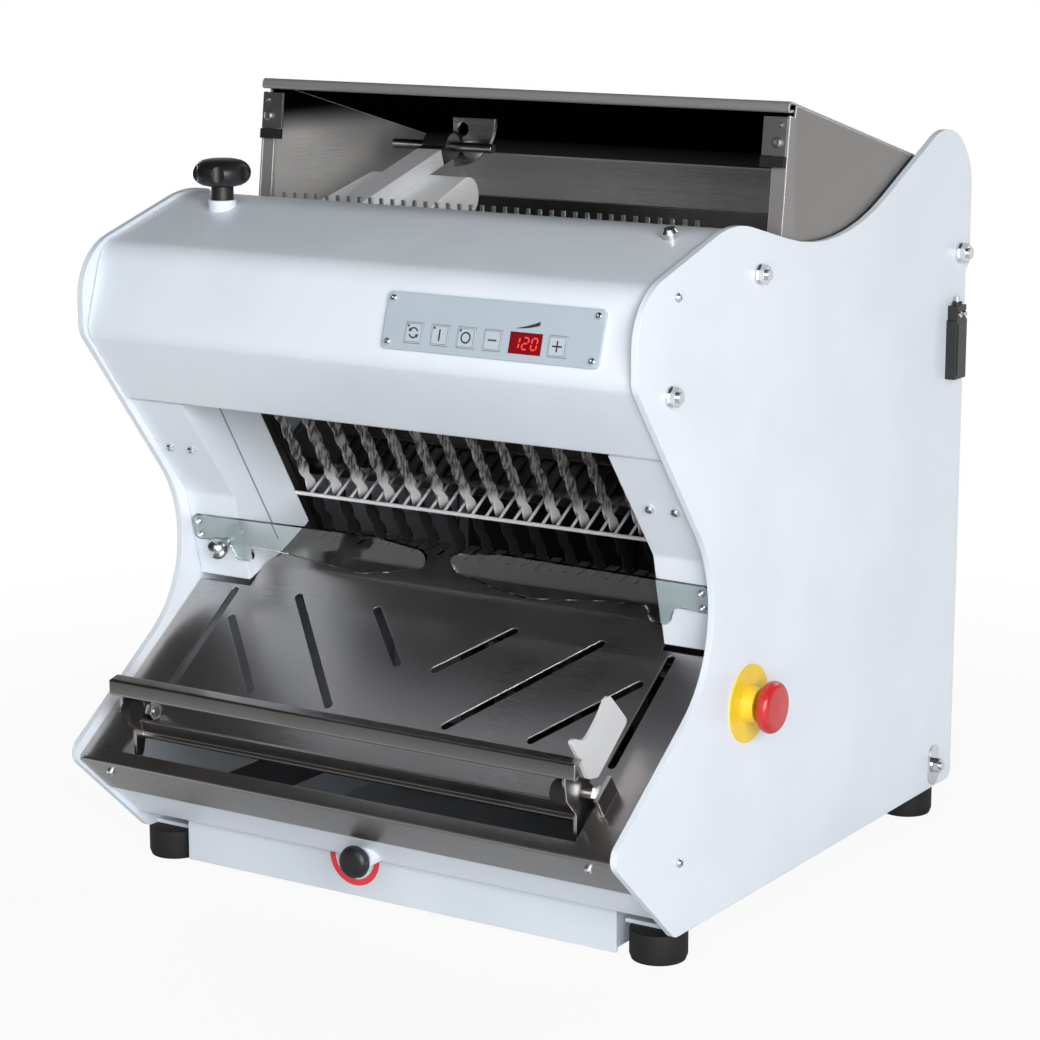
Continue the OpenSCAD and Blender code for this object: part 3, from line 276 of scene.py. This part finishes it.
def lid_painted_light_and_shade(steel, face, matt):
    """Colour, roughness and metallic share of the lid's faces, painted light and shade included."""
    right, forward, up = steel.facing()
    along_x, depth, height = steel.axes()
    low = steel.ramp(height, *HOLLOW_TOP, 1, 0)
    left_wall = steel.ramp(right, 0.5, 0.9) * steel.ramp(along_x, -0.1, 0.1, 1, 0)
    # Painted light: lower inner faces and the left wall's inner face turn pale and dull.
    hollow_painted_light = steel.ramp(forward, -0.3, -0.1, 1, 0).larger(left_wall) * low
    # Painted shade along the front lip.
    lip_painted_shade = steel.ramp(depth, *LIP_DEPTH, 1, 0)
    # Painted shadow: black under the roof.
    roof_painted_shadow = steel.ramp(up, -0.93, -0.8, 1, 0).larger(left_wall * (1 - low)) * (1 - lip_painted_shade)
    # Painted light: upward faces outside turn paler and rougher.
    top_painted_light = steel.ramp(up, 0.1, 0.4)
    face = steel.mix(hollow_painted_light, steel.mix(top_painted_light, face, LID_TOP_PAINTED_LIGHT), LID_HOLLOW_PAINTED_LIGHT)
    face = steel.mix(lip_painted_shade, steel.mix(roof_painted_shadow, face, LID_ROOF_PAINTED_SHADOW), LID_LIP_PAINTED_SHADE)
    # The painted faces lose metal, so that their painted tone shows.
    metallic = (1 - 0.65 * hollow_painted_light.larger(lip_painted_shade)) * (1 - roof_painted_shadow)
    return face, matt + 0.6 * roof_painted_shadow + 0.12 * top_painted_light, metallic


def brushed_stainless(name, grain, tone=STEEL, gloss=0.22, painted_shade_not_facing_up=None, lid=False):
    # On the lid the specular layer is off, so that the painted shadow under the roof stays black.
    steel = Finish(name, metallic=1.0, specular_ior_level=0.0 if lid else 0.5)
    lines = steel.noise(1, detail=4, stretch=grain, roughness=0.7)
    wiped = steel.ramp(steel.noise(9, detail=3), 0.3, 0.7)
    darker = tuple(0.8 * value for value in tone)
    face = steel.mix(0.6 * lines + 0.2 * wiped, darker, tone)
    matt = gloss + 0.1 * lines + 0.05 * wiped
    # Faces that do not look up take the darker given tone: painted shade that dims what they reflect.
    if painted_shade_not_facing_up:
        face = steel.mix(steel.ramp(steel.facing()[2], 0.05, 0.3, 1, 0), face, painted_shade_not_facing_up)
    if lid:
        face, matt, metallic = lid_painted_light_and_shade(steel, face, matt)
        steel.set("Metallic", metallic)
    # Sharp edges take a pale tone: a painted highlight.
    steel.set("Base Color", steel.mix(steel.edges(0.0012), face, PAINTED_EDGE_HIGHLIGHT))
    steel.set("Roughness", matt)
    steel.bump(lines, 0.00001, 0.4, steel.rounded_edges(0.0006))
    return steel.material


print("made", brushed_stainless.__name__)

# %% [markdown]
# ## Blade steel, plated steel and the other metals
#
# In the picture the blades are mottled, bright just over the wires and dark below them, and the
# wires are bright at the front only. All of this is painted light and shade: the mottle is painted
# glints, the band over the wires a painted highlight, and the dark below the wires and on the wires
# further back painted shade; heights and depths in metres say where these tones change.
# Bolts and rods have a plated skin with tiny crystals, brackets are milled aluminium, and the
# stands inside are rough castings; these share one recipe with other tones, grain and gloss.

# %% Small metals
def plain_metal(name, tone, gloss, grain, depth):
    metal = Finish(name, metallic=1.0)
    skin = metal.noise(grain, detail=4)
    stain = metal.ramp(metal.noise(35, detail=2), 0.4, 0.7)
    darker = tuple(0.7 * value for value in tone)
    metal.set("Base Color", metal.mix(0.45 * skin + 0.25 * stain, tone, darker))
    metal.set("Roughness", gloss + 0.16 * skin + 0.06 * stain)
    metal.bump(skin, depth, 0.6, metal.rounded_edges(0.0004))
    return metal.material


# Heights of the blades' painted shade and painted highlight.
BLADES_PAINTED_SHADE_TO = (0.282, 0.29)
BLADES_PAINTED_HIGHLIGHT_TO = (0.297, 0.309)


def ground_blades():
    steel = Finish("ground_blades", metallic=0.25)
    skin = steel.noise(1, detail=3, stretch=(300, 300, 130))
    height = steel.axes()[2]
    # Painted glints: a mottle from near-black to mid grey.
    painted_glints = steel.mix(steel.ramp(skin, 0.36, 0.64), (0.05, 0.048, 0.047), (0.52, 0.51, 0.5))
    # A painted highlight in a narrow band just over the wires.
    painted_light_upper = steel.mix(steel.ramp(height, *BLADES_PAINTED_HIGHLIGHT_TO, 1, 0), painted_glints, (0.92, 0.92, 0.93))
    # Painted shade: near-black below the wires.
    painted_shade_lower = (0.025, 0.024, 0.023)
    steel.set("Base Color", steel.mix(steel.ramp(height, *BLADES_PAINTED_SHADE_TO), painted_shade_lower, painted_light_upper))
    steel.set("Roughness", 0.3 + 0.14 * skin)
    steel.bump(skin, 0.00001, 0.4, steel.rounded_edges(0.0003))
    return steel.material


def satin_plate(name, painted_shade_behind=None):
    plate = Finish(name, metallic=0.3)
    skin = plate.noise(1, detail=3, stretch=ALONG_DEPTH)
    tone = plate.mix(skin, (0.78, 0.79, 0.81), (0.92, 0.93, 0.95))
    if painted_shade_behind:
        # Wires behind the given depth turn near-black: painted shade.
        tone = plate.mix(plate.ramp(plate.axes()[1], painted_shade_behind, painted_shade_behind + 0.02), tone, (0.05, 0.05, 0.05))
    plate.set("Base Color", tone)
    plate.set("Roughness", 0.36 + 0.12 * skin)
    plate.bump(skin, 0.00001, 0.4, plate.rounded_edges(0.0006))
    return plate.material


def painted_casting():
    paint = Finish("painted_casting")
    sand = paint.noise(320, detail=4)
    paint.set("Base Color", paint.mix(sand, (0.17, 0.2, 0.23), (0.24, 0.27, 0.3)))
    paint.set("Roughness", 0.5 + 0.2 * sand)
    paint.bump(sand, 0.00015, 0.7)
    return paint.material


print("made", plain_metal.__name__, ground_blades.__name__, satin_plate.__name__, painted_casting.__name__)

# %% [markdown]
# ## Rubber and moulded plastics
#
# Feet and buffers are black rubber with a dull bloom. Knobs and the switch are moulded black
# plastic with a fine texture. The mushroom head and its disc are glossy; a coat layer keeps
# their highlights tight over a rougher body.

# %% Rubber and plastics
def moulded(name, dark, light, gloss, grain=600, depth=0.00004, coat=0.0):
    plastic = Finish(name, coat_weight=coat, coat_roughness=0.12)
    texture = plastic.noise(grain, detail=3)
    bloom = plastic.ramp(plastic.noise(40), 0.35, 0.7)
    plastic.set("Base Color", plastic.mix(0.5 * texture + 0.5 * bloom, dark, light))
    plastic.set("Roughness", gloss + 0.12 * texture + 0.06 * bloom)
    plastic.bump(texture, depth, 0.5, plastic.rounded_edges(0.0006))
    return plastic.material


print("made", moulded.__name__)

# %% [markdown]
# ## Clear plates
#
# The two guards at the foot of the blade opening are clear plastic, so they use transmission at
# the plastic's own index. Fine scratches roughen them here and there. The lever on the stop is
# the same plastic with a frosted face, which scatters what is behind it.

# %% Clear and frosted plates
def clear_plate(name, tint, gloss, frost, through):
    plate = Finish(name, base_color=tint, transmission_weight=through, ior=1.49)
    scratches = plate.noise(1, detail=2, stretch=(900, 60, 60))
    haze = plate.ramp(scratches, 0.55, 0.75)
    plate.set("Roughness", gloss + frost * haze)
    plate.bump(scratches, 0.00001, 0.3)
    return plate.material


print("made", clear_plate.__name__)

# %% [markdown]
# ## Keypad film and display
#
# The keypad is a printed film with a satin face, pale blue-grey. The display behind its window
# is a dark red filter, smooth as glass, and its digits glow.

# %% Films and glowing digits
def satin_film(name, dark, light):
    film = Finish(name, coat_weight=0.2, coat_roughness=0.2)
    satin = film.noise(1500, detail=1)
    tone = film.noise(25)
    film.set("Base Color", film.mix(tone, dark, light))
    film.set("Roughness", 0.36 + 0.14 * satin)
    film.bump(satin, 0.00001, 0.4, film.rounded_edges(0.0005))
    return film.material


def red_filter():
    glass = Finish("red_filter", coat_weight=1.0, coat_roughness=0.03)
    depth = glass.noise(60)
    glass.set("Base Color", glass.mix(depth, (0.2, 0.003, 0.008), (0.3, 0.006, 0.012)))
    glass.set("Roughness", 0.12 + 0.08 * depth)
    return glass.material


def glowing_red():
    glow = Finish("glowing_red", base_color=(0.5, 0.02, 0.02), emission_strength=0.9)
    flicker = glow.noise(500, detail=1)
    glow.set("Emission Color", glow.mix(flicker, (1.0, 0.06, 0.04), (1.0, 0.12, 0.08)))
    glow.set("Roughness", 0.3 + 0.1 * flicker)
    return glow.material


def printed_ink(name, tone):
    ink = Finish(name)
    wear = ink.noise(700)
    ink.set("Base Color", ink.mix(wear, tone, tuple(0.03 + 0.95 * value for value in tone)))
    ink.set("Roughness", 0.4 + 0.2 * wear)
    return ink.material


print("made film, filter, glow and ink")

# %% [markdown]
# ## Dressing the solids
#
# The record names a material slot for every solid. One table from slot to finish dresses them
# all, and a second, shorter one names the solids with a grain or a tone of their own.

# %% Finishes by slot
finishes = {
    "white_paint": white_powder_coat(),
    "stainless": brushed_stainless("brushed_stainless", ALONG_WIDTH),
    "bright_steel": plain_metal("plated_steel", (0.72, 0.73, 0.75), 0.14, 900, 0.00001),
    "aluminium": plain_metal("milled_aluminium", (0.36, 0.365, 0.375), 0.3, 700, 0.00002),
    "cast_metal": plain_metal("dark_casting", (0.2, 0.2, 0.21), 0.5, 260, 0.0001),
    "motor_paint": painted_casting(),
    "black_rubber": moulded("black_rubber", (0.004, 0.004, 0.0045), (0.01, 0.01, 0.0105), 0.62, 420),
    "black_plastic": moulded("black_plastic", (0.008, 0.008, 0.009), (0.018, 0.018, 0.019), 0.3, 800),
    "clear_plastic": clear_plate("clear_plate", (0.86, 0.92, 0.9), 0.02, 0.05, 1.0),
    "white_plastic": moulded("white_plastic", (0.88, 0.9, 0.92), (0.93, 0.94, 0.95), 0.36, 300, 0.00003),
    "panel_film": satin_film("keypad_film", (0.44, 0.52, 0.58), (0.49, 0.57, 0.63)),
    "key_film": satin_film("key_film", (0.5, 0.56, 0.62), (0.56, 0.62, 0.68)),
    "display_glass": red_filter(),
    "yellow_plastic": moulded(
        "yellow_plastic", (0.82, 0.57, 0.02), (0.9, 0.66, 0.04), 0.34, 500, 0.00001, 0.2),
    "red_plastic": moulded(
        "red_plastic", (0.5, 0.012, 0.014), (0.6, 0.022, 0.022), 0.28, 500, 0.00001, 0.3),
    "grey_box": moulded("grey_box", (0.5, 0.52, 0.54), (0.57, 0.59, 0.61), 0.45),
}
special = {
    "lid_shell": brushed_stainless("lid_steel", ALONG_WIDTH, (0.32, 0.31, 0.3), lid=True),
    "lid_walls": brushed_stainless("brushed_along_depth", ALONG_DEPTH, (0.3, 0.29, 0.28), lid=True),
    # The chute's faces that do not look up are darkened: painted shade.
    "outfeed_chute": brushed_stainless("chute_steel", ALONG_WIDTH, painted_shade_not_facing_up=(0.34, 0.325, 0.315)),
    "lid_brackets": plain_metal("dull_plate", (0.34, 0.34, 0.35), 0.36, 700, 0.00002),
    # The inner faces of the rear cover and the apron get painted shade.
    "rear_cover": white_powder_coat("cover_paint", painted_shade_side=-1),
    "front_apron": white_powder_coat("apron_paint", painted_shade_side=1),
    # The drawer's white is dimmed by a fifth: painted shade under the lip above it.
    "crumb_drawer": white_powder_coat("drawer_paint", painted_shade_factor=0.8),
    # The base pan is near-black: painted shade, so that the slots and openings into the machine look dark.
    "base_pan": moulded("pan_painted_shade", (0.07, 0.07, 0.075), (0.1, 0.1, 0.105), 0.5),
    "front_blades": ground_blades(),
    "rear_blades": bpy.data.materials["ground_blades"],
    "loaf_grid": satin_plate("satin_wire", painted_shade_behind=-0.05),
    "infeed_bed": brushed_stainless("bed_steel", ALONG_DEPTH, (0.16, 0.155, 0.15)),
    "stop_frame": brushed_stainless("rail_steel", ALONG_WIDTH, (0.36, 0.345, 0.335)),
    "pusher_arm": satin_plate("satin_arm"),
    "stop_lever": clear_plate("frosted_plate", (0.92, 0.93, 0.94), 0.45, 0.2, 0.4),
}
for name, solid in nodes.items():
    solid.data.materials.clear()
    solid.data.materials.append(special.get(name) or finishes[slot_of[name]])
print("dressed", len(nodes), "solids with", len(finishes) + len(special), "finishes")

# %% [markdown]
# ## Smooth folds
#
# A fold in sheet metal arrives as a fan of narrow flats. Shading it smooth hides the flats, but
# a cut edge has to stay crisp. A small geometry graph joins the corners that meet, then shades
# smooth every edge that turns by less than a limit and leaves the rest sharp. It is a modifier,
# so the solids themselves stay as they are.

# %% Smooth shading by angle
CRISP_ANGLE = math.radians(28)


def smooth_folds():
    tree = bpy.data.node_groups.new("smooth_folds", "GeometryNodeTree")
    tree.interface.new_socket("Geometry", in_out="INPUT", socket_type="NodeSocketGeometry")
    tree.interface.new_socket("Geometry", in_out="OUTPUT", socket_type="NodeSocketGeometry")
    start = tree.nodes.new("NodeGroupInput")
    end = tree.nodes.new("NodeGroupOutput")
    joined = tree.nodes.new("GeometryNodeMergeByDistance")
    joined.inputs["Distance"].default_value = 0.002 * MM
    bare = tree.nodes.new("GeometryNodeRemoveAttribute")
    bare.inputs["Name"].default_value = "custom_normal"
    smooth = tree.nodes.new("GeometryNodeSetShadeSmooth")
    angle = tree.nodes.new("GeometryNodeInputMeshEdgeAngle")
    crisp = tree.nodes.new("FunctionNodeCompare")
    crisp.operation = "GREATER_THAN"
    crisp.inputs[1].default_value = CRISP_ANGLE
    edges = tree.nodes.new("GeometryNodeSetShadeSmooth")
    edges.domain = "EDGE"
    edges.inputs["Shade Smooth"].default_value = False
    chain = [start, joined, bare, smooth, edges, end]
    for before, after in zip(chain, chain[1:]):
        tree.links.new(before.outputs[0], after.inputs[0])
    tree.links.new(angle.outputs["Unsigned Angle"], crisp.inputs[0])
    tree.links.new(crisp.outputs[0], edges.inputs["Selection"])
    return tree


folds = smooth_folds()
for solid in nodes.values():
    solid.modifiers.new("smooth_folds", "NODES").node_group = folds
print("smooth folds on", len(nodes), "solids")

# %% [markdown]
# ## Printed marks
#
# Key symbols, the ramp over the display, the digits and the red half ring by the drawer catch
# are ink on the machine. Each is a very thin solid that lies on its face, so it can ride on the
# key or the drawer it is printed on. A face of a solid is found by the way it looks, and marks
# are then drawn in millimetres from the middle of that face.

# %% Finding a face and drawing on it
def face_of(node, toward):
    """Frame on the flat face of a node that looks most towards a direction: X level, Z out."""
    mesh = nodes[node].data
    toward = Vector(toward).normalized()
    out = max((p.normal for p in mesh.polygons), key=lambda n: n.dot(toward)).copy()
    flat = [p for p in mesh.polygons if p.normal.dot(out) > 0.999]
    front = max(p.center.dot(out) for p in flat)
    points = [mesh.vertices[i].co for p in flat if front - p.center.dot(out) < 0.1 * MM for i in p.vertices]
    level = Vector((0, 0, 1)).cross(out).normalized()
    up = out.cross(level)
    middle = [(min(p.dot(a) for p in points) + max(p.dot(a) for p in points)) / 2 for a in (level, up)]
    origin = level * middle[0] + up * middle[1] + out * front
    return Matrix.Translation(origin) @ Matrix((level, up, out)).transposed().to_4x4()


def ribbon(points, width, closed=False):
    """Left and right edges of a line of that width through points, all in millimetres."""
    points = [Vector(p) for p in points]
    count = len(points)
    edges = []
    for i, p in enumerate(points):
        before = points[i - 1] if closed or i > 0 else p
        after = points[(i + 1) % count] if closed or i < count - 1 else p
        into = (p - before).normalized() if p != before else (after - p).normalized()
        away = (after - p).normalized() if after != p else into
        side = (into + away).normalized()
        reach = width / 2 / max(0.4, side.dot(into))
        edges.append((p + reach * Vector((-side.y, side.x)), p - reach * Vector((-side.y, side.x))))
    return edges + edges[:1] if closed else edges


def arc(radius, start, end, steps=24, middle=(0, 0)):
    angles = [math.radians(start + (end - start) * i / steps) for i in range(steps + 1)]
    return [(middle[0] + radius * math.cos(a), middle[1] + radius * math.sin(a)) for a in angles]


def print_mark(name, face, strips, ink, body, thickness=0.08):
    """A thin solid on a face, from strips of left and right edges, riding on a body."""
    mesh = bpy.data.meshes.new(name)
    shape = bmesh.new()
    for strip in strips:
        corners = [[shape.verts.new((p.x, p.y, 0)) for p in pair] for pair in strip]
        if strip[0] == strip[-1]:
            for vert in corners.pop():
                shape.verts.remove(vert)
            corners.append(corners[0])
        for (a, b), (c, d) in zip(corners, corners[1:]):
            shape.faces.new((a, b, d, c))
    risen = bmesh.ops.extrude_face_region(shape, geom=shape.faces[:])["geom"]
    top = [v for v in risen if isinstance(v, bmesh.types.BMVert)]
    bmesh.ops.translate(shape, vec=(0, 0, thickness), verts=top)
    bmesh.ops.recalc_face_normals(shape, faces=shape.faces)
    bmesh.ops.transform(shape, matrix=face @ Matrix.Scale(MM, 4), verts=shape.verts)
    shape.to_mesh(mesh)
    shape.free()
    mesh.materials.append(ink)
    piece = bpy.data.objects.new(name, mesh)
    bpy.context.scene.collection.objects.link(piece)
    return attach(piece, body)


black_ink = printed_ink("black_ink", (0.02, 0.025, 0.035))
grey_ink = printed_ink("grey_ink", (0.2, 0.25, 0.3))
red_ink = printed_ink("red_ink", (0.75, 0.03, 0.04))
print("printing tools ready")

# %% [markdown]
# ## The keypad
#
# Five keys stand in the film, each with a thin frame round a plain sign: turning arrows, a
# stroke, a ring, minus and plus. Three of them have a small dark spot in the corner. A wedge
# stands over the display.

# %% Key signs
FRONT = (0, -1, 0.3)
FRAME = [(-6.6, -6.6), (6.6, -6.6), (6.6, 6.6), (-6.6, 6.6)]


def turning_arrows(radius=3.6, width=1.1):
    strips = []
    for start in (20, 200):
        strips.append(ribbon(arc(radius, start, start + 115, 14), width))
        tip = math.radians(start + 115)
        at = Vector((math.cos(tip), math.sin(tip))) * radius
        along = Vector((-math.sin(tip), math.cos(tip)))
        across = Vector((along.y, -along.x))
        point = at + along * 2.6
        ends = ((at, 1.7), (point, 0.05))
        strips.append([(place + across * half, place - across * half) for place, half in ends])
    return strips


signs = {
    "mode": turning_arrows(),
    "start": [ribbon([(0, -4.2), (0, 4.2)], 1.3)],
    "stop": [ribbon(arc(3.7, 0, 345, 24), 1.2, closed=True)],
    "minus": [ribbon([(-3.6, 0), (3.6, 0)], 1.2)],
    "plus": [ribbon(ends, 1.2) for ends in (
        [(-4.0, 0), (4.0, 0)], [(0, 0.65), (0, 4.0)], [(0, -4.0), (0, -0.65)])],
}
lamp_spot = [ribbon(arc(0.55, 0, 330, 12, (-5.0, 5.0)), 0.8, closed=True)]
for key, sign in signs.items():
    face = face_of(key + "_key", FRONT)
    print_mark(key + "_sign", face, sign, black_ink, key + "_button")
    print_mark(key + "_frame", face, [ribbon(FRAME, 0.5, closed=True)], grey_ink, key + "_button")
    if key in ("mode", "start", "stop"):
        print_mark(key + "_lamp", face, lamp_spot, black_ink, key + "_button")
print("signs on", len(signs), "keys")

# %% Display digits and wedge
SEGMENTS = {"1": "bc", "2": "abged", "0": "abcdef"}
DIGIT_W = 4.4
DIGIT_H = 8.4
DIGIT_STEP = 7.4
FIRST_DIGIT = -9.6
SLANT = 0.12
WEDGE_W = 20
WEDGE_FOOT = 10.2
WEDGE_RISE = 3.2
WEDGE_H = 3.0
WEDGE_STEPS = 10


def digit(sign, left):
    half = DIGIT_H / 2
    ends = {
        "a": ((0, half), (1, half)), "g": ((0, 0), (1, 0)), "d": ((0, -half), (1, -half)),
        "f": ((0, 0), (0, half)), "b": ((1, 0), (1, half)),
        "e": ((0, -half), (0, 0)), "c": ((1, -half), (1, 0)),
    }
    strips = []
    for segment in SEGMENTS[sign]:
        (x0, y0), (x1, y1) = ends[segment]
        p = Vector((left + x0 * DIGIT_W + y0 * SLANT, y0))
        q = Vector((left + x1 * DIGIT_W + y1 * SLANT, y1))
        strips.append(ribbon([p.lerp(q, 0.14), p.lerp(q, 0.86)], 1.1))
    return strips


window = face_of("display_window", FRONT)
digits = [strip for i, sign in enumerate("120") for strip in digit(sign, FIRST_DIGIT + DIGIT_STEP * i)]
print_mark("display_digits", window, digits, glowing_red(), "housing")
wedge = []
for share in [i / WEDGE_STEPS for i in range(WEDGE_STEPS + 1)]:
    foot = Vector((WEDGE_W * share - WEDGE_W / 2, WEDGE_FOOT + WEDGE_RISE * share ** 2))
    wedge.append((foot, foot + Vector((0, WEDGE_H * share ** 0.8))))
print_mark("display_wedge", window, [wedge], black_ink, "housing")
print("digits and wedge printed")

# %% [markdown]
# ## The drawer mark
#
# A red half ring is printed on the drawer front, round the catch knob. It hangs from the top
# edge of the drawer and rides on the drawer when that slides out.

# %% Red half ring
RING_X = -36 * MM
RING_R = 21
RING_W = 5.2
drawer_low, drawer_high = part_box("crumb_drawer")
ring_place = Matrix.Translation((RING_X, drawer_low.y, drawer_high.z - 0.6 * MM))
ring_face = ring_place @ Matrix.Rotation(math.radians(90), 4, "X")
half_ring = ribbon(arc(RING_R, 180, 360, 32), RING_W)
print_mark("drawer_ring", ring_face, [half_ring], red_ink, "drawer")
print("half ring at", [round(v, 4) for v in ring_face.translation])

# %% [markdown]
# ## Seams of the posts
#
# The picture shows a narrow dark line down the inner wall of each post. It runs beside the edge
# of the blade opening, so it is given by two places on that wall, as depth and height in
# millimetres.

# %% Dark line on each post
POST_WALL = 195
SEAM = [(-164.5, 377.0), (-84.0, 248.0)]
SEAM_W = 1.5

for name, x in (("left_seam", -POST_WALL), ("right_seam", POST_WALL)):
    out = Vector((-x, 0, 0)).normalized()
    up = Vector((0, 0, 1))
    level = up.cross(out)
    wall = Matrix.Translation((x * MM, 0, 0)) @ Matrix((level, up, out)).transposed().to_4x4()
    line = ribbon([(depth * level.y, height) for depth, height in SEAM], SEAM_W)
    print_mark(name, wall, [line], grey_ink, "housing")
print("seams on both posts")

# %% [markdown]
# ## Black mats as painted shade
#
# A thin black mat lies behind each group of louvres in the rear cover, a dark sheet put in as
# painted shade. It stops the view straight through the machine, so that it is dark behind the
# blades, as in the picture. The mats are assumed.

# %% Mats behind the louvres
MAT_SIZE = Vector((0.104, 0.003, 0.14))
MAT_X = 0.11
MAT_Y = 0.266
MAT_Z = 0.175

for name, side in (("left_mat", -1), ("right_mat", 1)):
    mat_mesh = bpy.data.meshes.new(name)
    shade_mat_block = bmesh.new()
    bmesh.ops.create_cube(shade_mat_block, size=1)
    bmesh.ops.scale(shade_mat_block, vec=MAT_SIZE, verts=shade_mat_block.verts)
    bmesh.ops.translate(shade_mat_block, vec=(side * MAT_X, MAT_Y, MAT_Z), verts=shade_mat_block.verts)
    shade_mat_block.to_mesh(mat_mesh)
    shade_mat_block.free()
    # Black, to stand in for the shade inside the machine.
    mat_mesh.materials.append(finishes["black_rubber"])
    mat = bpy.data.objects.new(name, mat_mesh)
    bpy.context.scene.collection.objects.link(mat)
    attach(mat, "housing")
print("mats of", tuple(round(v, 3) for v in MAT_SIZE))

# %% [markdown]
# ## The studio
#
# White paper lies under the machine and behind it; in front of the paper the room is dim, and so
# is the ceiling. That is what gives bare steel its mixture of white and deep grey. For rays from
# the camera the paper and the sky are simply white, by way of the Light Path node. Metal and glass
# see the same paper, and over it a backdrop at half that strength, so that the flat lid still
# stands out from the white. The light that falls on the machine comes from five soft lamps, of
# which the low one looks in at the blades, and a little from an almost even sky.

# %% Floor
FLOOR_R = 80
SWEEP_FRONT = -0.52

floor_mesh = bpy.data.meshes.new("floor")
disc = bmesh.new()
bmesh.ops.create_circle(disc, cap_ends=True, segments=96, radius=FLOOR_R)
disc.to_mesh(floor_mesh)
disc.free()
floor = bpy.data.objects.new("floor", floor_mesh)
bpy.context.scene.collection.objects.link(floor)


def ray_kinds(finish):
    """Masks for rays from the camera, and for rays by way of metal or glass."""
    ways = finish.node("ShaderNodeLightPath").socket.node.outputs
    camera_ray, glossy, through = [
        Wire(finish, ways[name]) for name in ("Is Camera Ray", "Is Glossy Ray", "Is Transmission Ray")]
    return camera_ray, glossy.larger(through)


GLOW = 0.92
BOUNCE = 0.1
paper = Finish("studio_paper", roughness=0.9)
along_x, along_y, _ = paper.axes()
on_sweep = paper.ramp(along_y, SWEEP_FRONT - 0.25, SWEEP_FRONT)
from_middle = (along_x * along_x + along_y * along_y) ** 0.5
glow = paper.ramp(from_middle, 0.4, 1.2, GLOW, 1.0)
lit = paper.ramp(from_middle, 0.3, 0.6, 0.0, GLOW)
paper.set("Base Color", paper.mix(on_sweep, (0.2, 0.2, 0.21), (0.6, 0.61, 0.62)))
white = paper.node("ShaderNodeEmission")
seen, mirrored = ray_kinds(paper)
paper.node_to_surface(paper.node("ShaderNodeMixShader", sockets={
    0: (glow * seen).larger(lit * mirrored * on_sweep).larger(BOUNCE * (1 - mirrored)),
    1: Wire(paper, paper.shader.outputs[0]), 2: white}))
floor_mesh.materials.append(paper.material)
print("floor radius", FLOOR_R)

# %% Sky and lamps
FILL = 0.11
FILL_OVERHEAD = 0.12
CEILING = 0.04
ROOM = 0.03
BACKDROP = 0.5


class Sky(Finish):
    """The world's own graph, with the same tools."""

    def __init__(self, world):
        world.use_nodes = True
        self.tree = world.node_tree
        self.shader = self.tree.nodes["Background"]
        self.set("Color", (1, 1, 1, 1))


sky = Sky(bpy.data.worlds.new("studio"))
bpy.context.scene.world = bpy.data.worlds["studio"]
direction = sky.node("ShaderNodeTexCoord", out="Generated")
back, height = sky.split(direction)[1:]
wall = sky.ramp(back, -0.2, 0.6, ROOM, BACKDROP)
overhead = sky.ramp(height, 0.12, 0.62)
mirror_sky = wall * (1 - overhead) + CEILING * overhead
fill_sky = sky.ramp(height, 0.0, 0.8, FILL, FILL_OVERHEAD)
seen, mirrored = ray_kinds(sky)
sky.set("Strength", seen + mirrored * mirror_sky + (1 - seen.larger(mirrored)) * fill_sky)


def soft_lamp(name, place, target, size, power):
    lamp = bpy.data.lights.new(name, "AREA")
    lamp.shape = "RECTANGLE"
    lamp.size, lamp.size_y = size
    lamp.energy = power
    holder = bpy.data.objects.new(name, lamp)
    holder.location = place
    holder.rotation_euler = (Vector(target) - Vector(place)).to_track_quat("-Z", "Y").to_euler()
    bpy.context.scene.collection.objects.link(holder)


AIM = (0, 0, 0.3)
soft_lamp("front_lamp", (0.8, -3.0, 1.4), AIM, (2.2, 1.4), 24)
soft_lamp("right_lamp", (2.7, -2.3, 1.3), AIM, (1.8, 1.6), 92)
soft_lamp("low_lamp", (1.3, -1.9, 0.32), (0, -0.1, 0.36), (1.0, 0.5), 10)
soft_lamp("rear_lamp", (0.9, 3.0, 2.2), AIM, (1.6, 1.2), 22)
soft_lamp("side_lamp", (-2.8, 1.4, 0.6), AIM, (1.6, 1.0), 60)
print("sky and five lamps")
